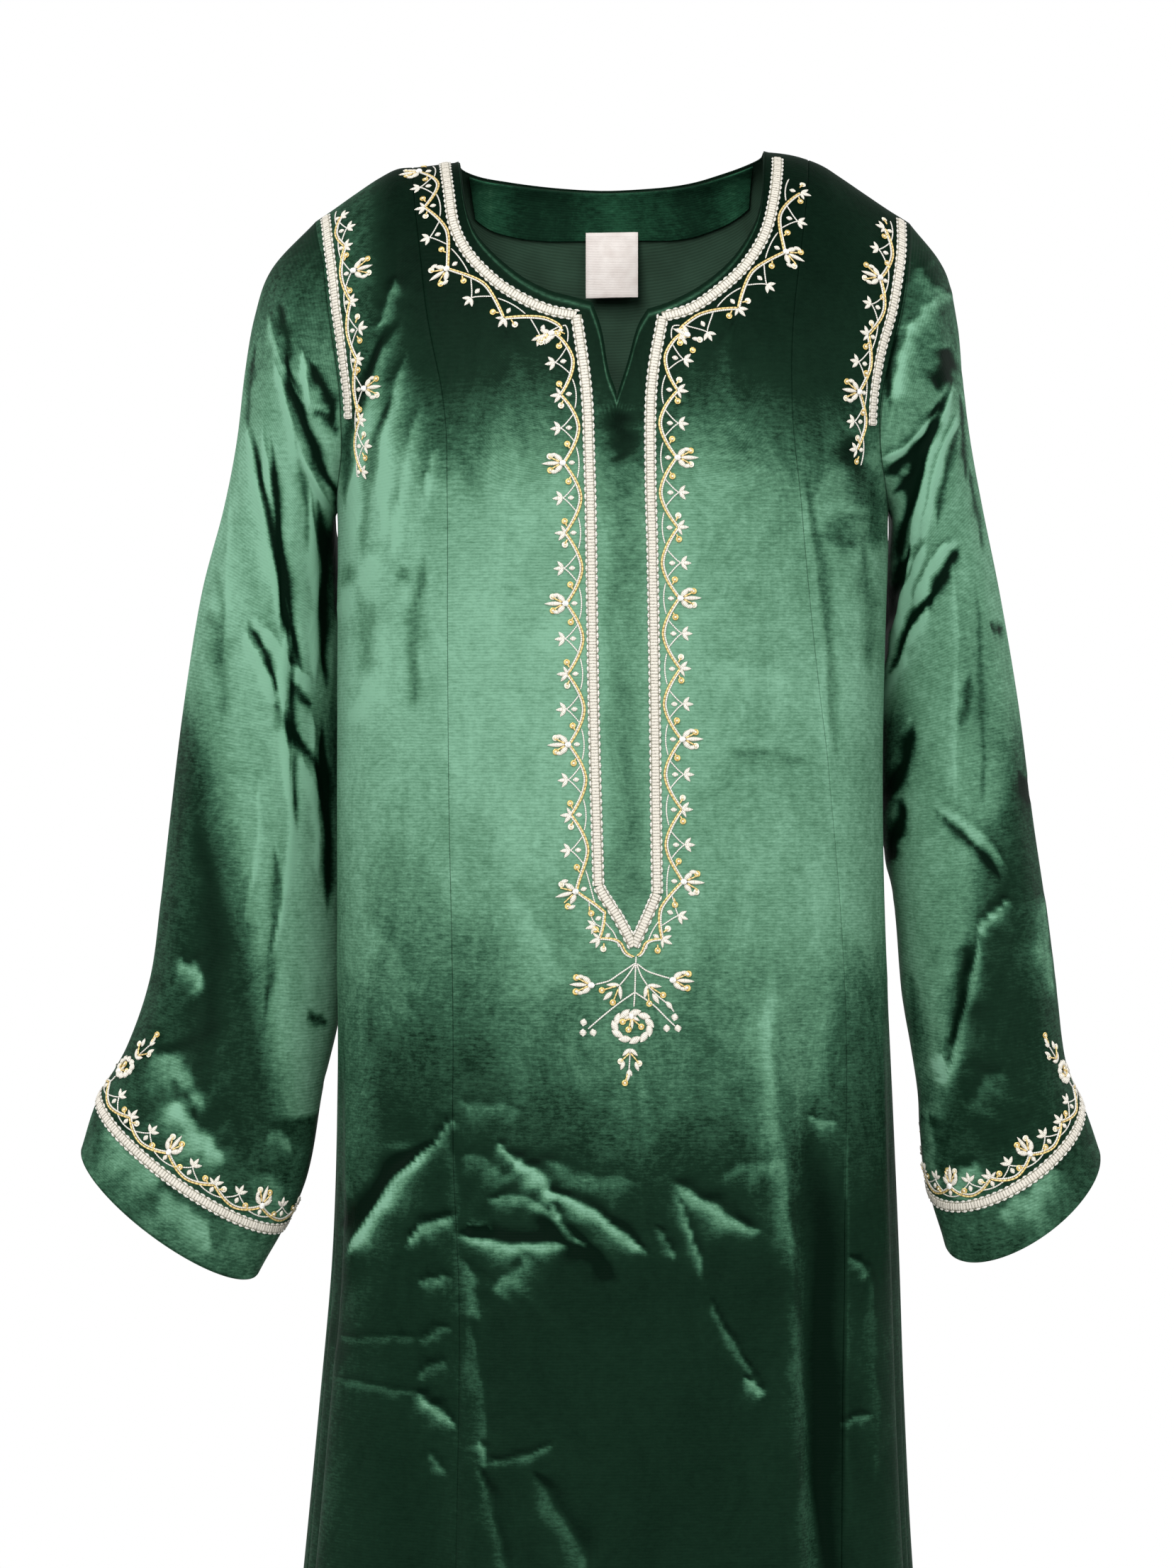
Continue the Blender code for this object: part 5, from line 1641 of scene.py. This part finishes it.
def sequin(work, spot_at, a, b, finish, from_a, from_b):
    """A sequin held by a short bugle that reaches it from this side, with a bead on it."""
    work.stamp("sequin", spot_at, a, b, 0, (1.85, 1.85, 1.2), finish, 0.35)
    reach = math.hypot(a - from_a, b - from_b)
    angle = math.degrees(math.atan2(a - from_a, b - from_b))
    work.stamp("stick", spot_at, from_a, from_b, angle, (0.45, reach, 0.45), GOLD_AT, 0.8)
    work.stamp("bead", spot_at, a, b, 0, (0.75, 0.75, 0.7), PALE_AT, 1.0)


def flower(work, spot_at, flip):
    """A small flower on a cusp with a white and a gold sequin beside it."""
    for angle, length, half in ((-62, 5.0, 1.0), (0, 6.3, 1.25), (46, 5.8, 1.25)):
        work.stamp("petal", spot_at, 0, 0.4, angle * flip, (half, length, 0.7), CREAM_AT, 0.3)
    for way, finish in ((flip, PALE_AT), (-flip, SEQUIN_AT)):
        sequin(work, spot_at, 6.6 * way, 0.8, finish, 3.6 * way, -0.8)


def bud(work, spot_at, flip):
    """A big bud: white bead, curled outer leaves, pointed middle leaf, two sequins in
    it and two beside it."""
    for way in (-1, 1):
        work.stamp("petal", spot_at, 0.8 * way, 1.4, 46 * way, (1.7, 6.6, 1.1), CREAM_AT, 0.3)
        work.stamp("petal", spot_at, 4.9 * way, 4.4, -4 * way, (1.25, 5.0, 0.9), CREAM_AT, 0.3)
        finish = PALE_AT if way == flip else SEQUIN_AT
        sequin(work, spot_at, 3.9 * way, 9.4, finish, 0.7 * way, 3.2)
        sequin(work, spot_at, 10.6 * way, -2.2, SEQUIN_AT, 7.8 * way, -3.8)
    work.stamp("petal", spot_at, 0, 2.6, 0, (1.3, 10.6, 1.0), CREAM_AT, 0.6)
    work.stamp("bead", spot_at, 0, 1.0, 0, (1.8, 1.8, 1.6), BEAD_AT, 1.3)


def leaf_pair(work, spot_at, lean):
    """Leaves round a fork with two sequins, as they hang under the front opening."""
    for angle, length, half in ((lean + 52, 8.2, 1.3), (lean - 44, 7.6, 1.4)):
        work.stamp("petal", spot_at, 0, 0, angle, (half, length, 0.8), CREAM_AT, 0.3)
    work.stamp("petal", spot_at, *polar(5.5, lean), lean, (1.5, 7.0, 0.9), CREAM_AT, 0.3)
    for angle in (lean + 26, lean - 26):
        sequin(work, spot_at, *polar(10.5, angle), SEQUIN_AT, *polar(2.0, angle))


def wreath(work, spot_at, wide, high):
    """A scalloped padded ring with a bead, a petal and three sequins inside it."""
    lobes = 11
    across = wide - 1.7
    down = high - 1.7
    length = 1.3 * math.pi * (across + down) / lobes
    for number in range(lobes):
        turn = 2 * math.pi * (number + 0.3) / lobes
        heading = math.degrees(math.atan2(across * math.cos(turn), -down * math.sin(turn)))
        back_a, back_b = polar(length / 2, heading)
        a = across * math.sin(turn) - back_a
        b = down * math.cos(turn) - back_b
        work.stamp("dash", spot_at, a, b, heading + 20, (2.1, length, 1.2), CREAM_AT, 0.4)
    size = high / 10.8
    for a, b in ((-5.4, -2.6), (-2.2, 1.8), (5.0, 0.2)):
        sequin(work, spot_at, a * size, b * size, SEQUIN_AT, -0.6 * size, -4.6 * size)
    for angle, length in ((-72, 4.4), (4, 7.0), (62, 5.4)):
        leaf = (1.2 * size, length * size, 0.8)
        work.stamp("petal", spot_at, -0.6 * size, -5.6 * size, angle, leaf, CREAM_AT, 0.3)
    work.stamp("bead", spot_at, -0.6 * size, -5.6 * size, 0, (1.6, 1.6, 1.4), BEAD_AT, 1.2)


def drop(work, spot_at):
    """The hanging bud at the end: four leaves, two white sequins and a gold one."""
    for a, b, angle, length, half in (
        (0, 0, -46, 6.0, 1.3),
        (0, 0, 46, 6.0, 1.3),
        (-3.2, 7.2, -24, 5.2, 1.3),
        (3.0, 7.4, 18, 5.6, 1.3),
        (-0.6, 11.6, -8, 7.0, 1.3),
        (-0.4, 11.6, 20, 4.2, 0.9),
    ):
        work.stamp("petal", spot_at, a, b, angle, (half, length, 0.8), CREAM_AT, 0.3)
    work.trace(spot_at, ((0, 0.6), (-0.2, 6), (-0.6, 12)), TENDRIL, SILVER_AT)
    sequin(work, spot_at, -5.3, 7.2, PALE_AT, -0.3, 2.6)
    sequin(work, spot_at, 5.1, 8.4, PALE_AT, 0.3, 2.6)
    sequin(work, spot_at, -2.9, 19.3, SEQUIN_AT, -1.4, 14.0)


def dots(work, spot_at, places):
    """Small padded rounds at the end of a stem."""
    for number, (a, b) in enumerate(places):
        angle = 12 * (number - 1)
        work.stamp("dash", spot_at, a, b - 2.2, angle, (2.1, 4.4, 1.1), CREAM_AT, 0.3)


def pendant(work, at_opening):
    """The spray below the point of the front opening, millimetres from the junction."""
    stems = (
        ((0, -1.0), (-0.4, 9), (-0.7, 19.3), (-1.2, 27.5)),
        ((-0.4, 3.0), (-9.6, 9.2), (-15.4, 13.0), (-23.0, 15.0)),
        ((0.4, 3.2), (5.8, 7.2), (11.6, 9.4), (19.0, 11.6)),
        ((-0.4, 3.6), (-4.8, 10.1), (-9.2, 15.4)),
        ((0.3, 3.6), (2.9, 10.1), (6.3, 15.4)),
        ((-0.8, 19.4), (-9.6, 25.5), (-19.3, 33.3), (-27.0, 40.0)),
        ((-0.6, 19.4), (9.6, 26.5), (17.4, 34.2), (22.0, 38.6)),
        ((6.6, 15.8), (12.5, 21.7), (18.4, 26.6), (21.4, 30.5)),
    )
    for places in stems:
        work.trace(at_opening, places, STEM, SILVER_AT)

    def moved(a, b):
        surface, s, d = at_opening
        return surface, s + a * MM, d + b * MM

    for a, b, lean in ((-24.6, 15.4, -92), (20.0, 12.5, 86)):
        turned_bud(work, moved(a, b), lean)
    leaf_pair(work, moved(-9.2, 15.4), -48)
    leaf_pair(work, moved(6.3, 15.4), 32)
    work.stamp("petal", moved(17.0, 24.6), 0, 0, 38, (1.5, 5.6, 0.9), CREAM_AT, 0.3)
    dots(work, at_opening, ((-29.1, 36.4), (-29.9, 42.1), (-24.6, 42.1)))
    dots(work, at_opening, ((22.2, 33.5), (17.2, 39.7), (23.1, 39.8)))
    wreath(work, moved(-2.1, 38.6), 12.9, 10.8)
    drop(work, moved(-3.4, 51.1))


def turned_bud(work, spot_at, lean):
    """A big bud that points the way of its stem."""

    def put(body, a, b, angle, size, finish, lift):
        sine, cosine = polar(1.0, lean)
        beside = a * cosine + b * sine
        ahead = b * cosine - a * sine
        work.stamp(body, spot_at, beside, ahead, angle + lean, size, finish, lift)

    for way in (-1, 1):
        put("petal", 0.8 * way, 1.0, 40 * way, (1.8, 6.6, 1.1), CREAM_AT, 0.3)
        put("petal", 4.4 * way, 4.6, 2 * way, (1.3, 5.2, 0.9), CREAM_AT, 0.3)
        put("stick", 0.6 * way, 2.4, 27 * way, (0.45, 7.0, 0.45), GOLD_AT, 1.2)
        put("sequin", 4.0 * way, 9.2, 0, (1.95, 1.95, 1.2), SEQUIN_AT, 0.6)
        put("bead", 3.8 * way, 8.8, 0, (0.9, 0.9, 0.8), BEAD_AT, 1.4)
    put("petal", 0, 2.6, 0, (1.3, 10.4, 1.0), CREAM_AT, 0.6)
    put("bead", 0, 0.6, 0, (1.9, 1.9, 1.6), BEAD_AT, 1.3)


def draw(work, kind, spot_at, flip):
    """Draw the named motif at a spot; a ring also has its own stem and hanging bud."""
    if kind == "bud":
        bud(work, spot_at, flip)
    elif kind == "flower":
        flower(work, spot_at, flip)
    elif kind == "sprig":
        sprig(work, spot_at)
    elif kind == "ring":
        surface, s, d = spot_at
        work.trace(spot_at, ((0, 0), (0.6, 3), (0, 6)), STEM, SILVER_AT)
        wreath(work, (surface, s, d + 0.0135), 8.0, 8.0)
        drop(work, (surface, s, d + 0.0225))


def vine(work, border, cusps, middles, low, reach):
    """Gold and silver cords in arcs between cusps, with a motif at each cusp and middle.

    A cusp is its place, its distance from the braid in millimetres and its motif. Along
    an arc u runs from -1 to 1 and the cords lie at low + (cusp - low) |u|^1.7; a motif in
    the middle grows from two stems that meet at the reach.
    """
    for number, (one, other) in enumerate(zip(cusps, cusps[1:])):
        start, high_in, _ = one
        stop, high_out, _ = other
        u = np.linspace(-1, 1, max(16, int((stop - start) / CORD_STEP)))
        middle = (start + stop) / 2
        half = (stop - start) / 2
        high = high_in + (high_out - high_in) * (u + 1) / 2
        d = (low + (high - low) * np.abs(u) ** 1.7) * MM
        s = middle + u * half
        work.along(border, s, d, GOLD_CORD, GOLD_AT)
        work.along(border, s, d + 0.00125, SILVER_CORD, SILVER_AT)
        kind = middles[number % len(middles)]
        if kind is None:
            continue
        v = np.linspace(0, 1, 14)
        from_s = min(0.0078, 0.62 * half)
        from_d = low * MM + (high_in - low) * MM * (from_s / half) ** 1.7 + 0.0014
        d = from_d + (reach * MM - from_d) * v
        for way in (-1, 1):
            s = middle + way * from_s * (1 - v) ** 1.35
            work.along(border, s, d, TENDRIL, SILVER_AT)
        draw(work, kind, (border, middle, reach * MM), 1 if number % 2 else -1)
        between = (border, middle, (low + reach) / 2 * MM)
        work.stamp("dash", between, 0, -1.6, 0, (1.45, 3.8, 0.9), CREAM_AT, 0.3)
    for number, (place, high, kind) in enumerate(cusps):
        if kind is None:
            continue
        u = np.linspace(-1, 1, 18)
        floor_d = (low + 0.9) * MM
        work.along(border, place + u * 0.0088, floor_d + 0.0014 * u**2, TENDRIL, SILVER_AT)
        between = (border, place, (low + high) / 2 * MM)
        work.stamp("dash", between, 0, -1.7, 0, (1.4, 3.8, 0.9), CREAM_AT, 0.3)
        draw(work, kind, (border, place, high * MM), 1 if number % 2 else -1)


def braid(work, legs, closed=False):
    """A flat braid along its legs, mitred where they meet.

    A dull base, its darker tone partly painted shade between the cord and the dashes,
    carries a middle cord 4 mm wide, with a groove along it and a dent at every third row,
    and a row of padded dashes about 3.3 mm long on each edge.
    """
    half = BRAID_WIDTH / 2
    for leg, (lean_in, lean_out) in legs:
        count = int(leg.length / BRAID_ROW)
        base_s = np.linspace(0, leg.length, count + 1)
        for reach, levels, finish in (
            (0.0030, (0.00005, 0.0008), BASE_AND_SHADE_AT),
            (0.0020, (0.0006, 0.0013), CORE_AT),
        ):
            o = np.linspace(-reach, reach, 7)
            near = np.clip(1 - base_s / (2.2 * BRAID_WIDTH), 0, 1)[:, None]
            far = np.clip(1 - (leg.length - base_s) / (2.2 * BRAID_WIDTH), 0, 1)[:, None]
            s = base_s[:, None] + near * lean_in * o - far * lean_out * o
            if closed:
                s = s[:-1]
            points, normals = leg.at(s, np.broadcast_to(o, s.shape))
            crown = 0.6 + 0.4 * np.sqrt(np.clip(1 - (o / reach) ** 2, 0, 1))
            if finish == CORE_AT:
                ribs = 0.00030 * (np.arange(len(s)) % 3 == 0)[:, None]
                groove = 0.00014 * bell(o, 0.0003)
            else:
                ribs = 0.0
                groove = 0.0
            top = levels[0] + (levels[1] - levels[0]) * crown - ribs - groove
            top = np.broadcast_to(top, s.shape)[..., None]
            weave = np.stack(np.broadcast_arrays(o, s, 0.0), axis=-1)
            work.slab(points + normals * levels[0], points + normals * top, weave, finish, closed)
        dashes = int(round(leg.length / DASH_PITCH))
        for way in (-1, 1):
            d = way * (half - 0.0008)
            shift_in = lean_in * d
            shift_out = -lean_out * d
            for number in range(dashes):
                share = (number + 0.5) / dashes
                s = shift_in + (leg.length + shift_out - shift_in) * share
                length = 3.3 + 0.3 * math.sin(number * 2.4 + way)
                size = (0.78, length, 0.62)
                work.stamp("dash", (leg, s, d), -length / 2, 0, 90, size, SILVER_AT, 0.6)


def front_legs(rows, corners):
    """Lines of plan places along a front braid, one leg between each two corners."""
    plan = spot(rows[:, 0], rows[:, 1])
    ends = [0, *corners, len(rows) - 1]
    legs = []
    for start, stop in zip(ends, ends[1:]):
        piece = plan[start : stop + 1]
        length = run_along(body_point(piece[:, 0], piece[:, 1], -1))[-1]
        legs.append(smooth_line(piece, max(8, int(length / 0.001))))
    return legs


def mitred(skin, lines):
    """Borders of the lines with the lean of the mitre at both ends of each."""
    legs = [Border(skin, line, 1) for line in lines]
    leans = []
    for before, after in zip(legs, legs[1:]):
        ahead = unit(before.point[-1] - before.point[-3])
        onward = unit(after.point[2] - after.point[0])
        normal = skin.bare(after.columns[:1, :2])[1][0]
        bend = math.asin(float(np.clip(np.dot(np.cross(ahead, onward), normal), -1, 1)))
        if np.dot(ahead, onward) < 0:
            bend = math.copysign(math.pi - abs(bend), bend)
        leans.append(math.tan(bend / 2))
    return [
        (leg, (lean_in, lean_out))
        for leg, lean_in, lean_out in zip(legs, [0.0] + leans, leans + [0.0])
    ]


def softened(line, window):
    """The line with its corners rounded by two passes of a running mean."""
    count = max(3, window // 2 * 2 + 1)
    for _ in range(2):
        head = 2 * line[0] - line[1 : count // 2 + 1][::-1]
        tail = 2 * line[-1] - line[-count // 2 : -1][::-1]
        wide = np.concatenate((head, line, tail))
        kernel = np.ones(count) / count
        line = np.stack([np.convolve(wide[:, k], kernel, "same") for k in range(2)], axis=-1)
        line = line[len(head) : len(wide) - len(tail)]
    return line


def z_places(border, heights):
    """Where along a border its line passes these heights, going down."""
    return np.interp(-np.array(heights), -border.point[:, 2], border.run)


def run_on(line, count):
    """The line and so many more points straight on from its end."""
    ahead = (line[-1] - line[-2]) * np.arange(1, count + 1)[:, None]
    return np.concatenate((line, line[-1] + ahead))


front_skin = FrontSkin()
neck_legs = front_legs(NECK_BRAID, BRAID_CORNERS)
work = Needlework()
braid(work, mitred(front_skin, neck_legs))
work.finish("neck_placket_couching", "silver_cream_braid", ("neck_placket_braid",))

# distance between two cusps of the vine beside the placket, nearest that one comes to
# the shoulder, and shortest last cell at the shoulder
CELL = 0.0398
FIRST_CUSP = 0.0135
LAST_CELL = 0.007
left_half, right_half = (
    np.concatenate((neck_legs[k], neck_legs[k + 1][1:], neck_legs[k + 2][1:])) for k in (0, 3)
)
right_half = right_half[::-1]
work = Needlework()
for line, side, past, beside, short in (
    (left_half, -1, 0.0055, 2.1, 0.0120),
    (right_half, 1, 0.0040, 3.9, 0.0105),
):
    line = softened(line, 17)
    length = Border(front_skin, line, side).length
    border = Border(front_skin, run_on(line, 10), side)
    cusps = [(length + past, beside, None), (length - short, 13.0, "flower")]
    for k in range(1, int((length - LAST_CELL) / CELL) + 1):
        kind = "bud" if k % 2 else "flower"
        cusps.append((max(length - CELL * k, FIRST_CUSP), 15.0, kind))
    cusps = cusps[::-1]
    vine(work, border, cusps, ["sprig"] * (len(cusps) - 2) + [None], 5.1, 17.0)
pendant(work, (Hanging(front_skin, 0.0142, -0.4642), 0.0, 0.0))
work.finish("neck_vine", "silver_cream_braid")

for name, rows, side, heights, at_cusp, at_middle, high, reach in (
    ("left_armhole", LEFT_ARMHOLE_BRAID, 1, (-0.042, -0.0598, -0.091, -0.1239, -0.1568, -0.186),
     ("sprig",), ("sprig", "bud", "flower", "bud", "flower"), 9.6, 12.5),
    ("right_armhole", RIGHT_ARMHOLE_BRAID, -1, (-0.0489, -0.0788, -0.1121, -0.1424, -0.1740),
     ("flower", "bud"), ("sprig",), 10.5, 14.0),
):
    lines = front_legs(rows, ())
    work = Needlework()
    braid(work, mitred(front_skin, lines))
    work.finish(f"{name}_couching", "silver_cream_braid", (f"{name}_braid",))
    border = Border(front_skin, run_on(lines[0], 35), side)
    places = z_places(border, heights)
    cusps = [(place, high, at_cusp[k % len(at_cusp)]) for k, place in enumerate(places)]
    work = Needlework()
    vine(work, border, cusps, at_middle, 5.0, reach)
    work.finish(f"{name}_vine", "silver_cream_braid")

for name, sleeve, side in (("left_cuff", left_sleeve, 1), ("right_cuff", right_sleeve, -1)):
    cuff_skin = CuffSkin(sleeve)
    turns = np.linspace(0, 1, 361)
    once = np.stack((turns, np.full(361, CUFF_BRAID_FROM_EDGE)), axis=-1)
    work = Needlework()
    braid(work, [(Border(cuff_skin, once, side), (0.0, 0.0))], closed=True)
    work.finish(f"{name}_couching", "silver_cream_braid", (f"{name}_braid",))
    turns = np.linspace(-0.2, 1.2, 505)
    more = np.stack((turns, np.full(505, CUFF_BRAID_FROM_EDGE)), axis=-1)
    border = Border(cuff_skin, more, side)
    zero = np.interp(0.0, turns, border.run)
    around = np.interp(1.0, turns, border.run) - zero
    kinds = ("ring",) + ("flower", "bud") * 4 + ("flower", None)
    cusps = [(zero + around * k / 10, 11.0, kind) for k, kind in enumerate(kinds)]
    work = Needlework()
    vine(work, border, cusps, ("sprig",), 5.0, 13.5)
    work.finish(f"{name}_vine", "silver_cream_braid")


def camera_and_light():
    """The photograph's level view, a large soft key from the upper front, weak fills."""
    view = bpy.data.cameras.new("camera")
    camera = bpy.data.objects.new("camera", view)
    bpy.context.scene.collection.objects.link(camera)
    distance = 2.7
    frame_height = 0.92
    camera.location = (-0.0129, -distance, -0.366)
    camera.rotation_euler = (math.pi / 2, 0, 0)
    view.sensor_width = 36.0
    view.lens = 18.0 * distance / (frame_height / 2)
    bpy.context.scene.camera = camera
    for name, place, aim, size, power in (
        ("key", (-0.7, -2.3, 1.1), (0, 0, -0.35), (1.4, 1.8), 58),
        ("fill", (1.6, -2.0, 0.3), (0, 0, -0.4), (1.2, 1.8), 20),
        ("rim_left", (-2.0, 0.6, 0.4), (0, 0, -0.4), (0.8, 1.8), 18),
        ("rim_right", (2.0, 0.8, 0.4), (0, 0, -0.4), (0.8, 1.8), 18),
    ):
        lamp = bpy.data.lights.new(name, "AREA")
        lamp.shape = "RECTANGLE"
        lamp.size, lamp.size_y = size
        lamp.energy = power
        light = bpy.data.objects.new(name, lamp)
        light.location = place
        toward = np.array(aim) - np.array(place)
        light.rotation_euler = (
            math.atan2(math.hypot(toward[0], toward[1]), -toward[2]),
            0,
            math.atan2(toward[1], toward[0]) - math.pi / 2,
        )
        bpy.context.scene.collection.objects.link(light)


def white_world():
    """A white sweep behind the object, dimmer where it only lights the cloth."""
    world = bpy.data.worlds.new("white_sweep")
    world.use_nodes = True
    tree = world.node_tree
    ground = tree.nodes["Background"]
    ground.inputs["Color"].default_value = (1, 1, 1, 1)
    ground.inputs["Strength"].default_value = 0.55
    seen = add(tree, "ShaderNodeBackground", {"Color": (1, 1, 1, 1), "Strength": 1.0})
    rays = add(tree, "ShaderNodeLightPath")
    mixed = tree.nodes.new("ShaderNodeMixShader")
    tree.links.new(rays.outputs["Is Camera Ray"], mixed.inputs[0])
    tree.links.new(ground.outputs[0], mixed.inputs[1])
    tree.links.new(seen.outputs[0], mixed.inputs[2])
    tree.links.new(mixed.outputs[0], tree.nodes["World Output"].inputs["Surface"])
    bpy.context.scene.world = world
    bpy.context.scene.view_settings.view_transform = "Standard"


def pale_floor():
    """A round pale floor under the hem."""
    bpy.ops.mesh.primitive_circle_add(vertices=96, radius=1.3, fill_type="NGON")
    floor = bpy.context.object
    floor.name = "floor"
    floor.location = (0, 0, -HEM_DEPTH - 0.12)
    made, _, shader = material("studio_floor_matte_paint")
    shader.inputs["Base Color"].default_value = linear("ECECEA")
    shader.inputs["Roughness"].default_value = 0.9
    floor.data.materials.append(made)


camera_and_light()
white_world()
pale_floor()
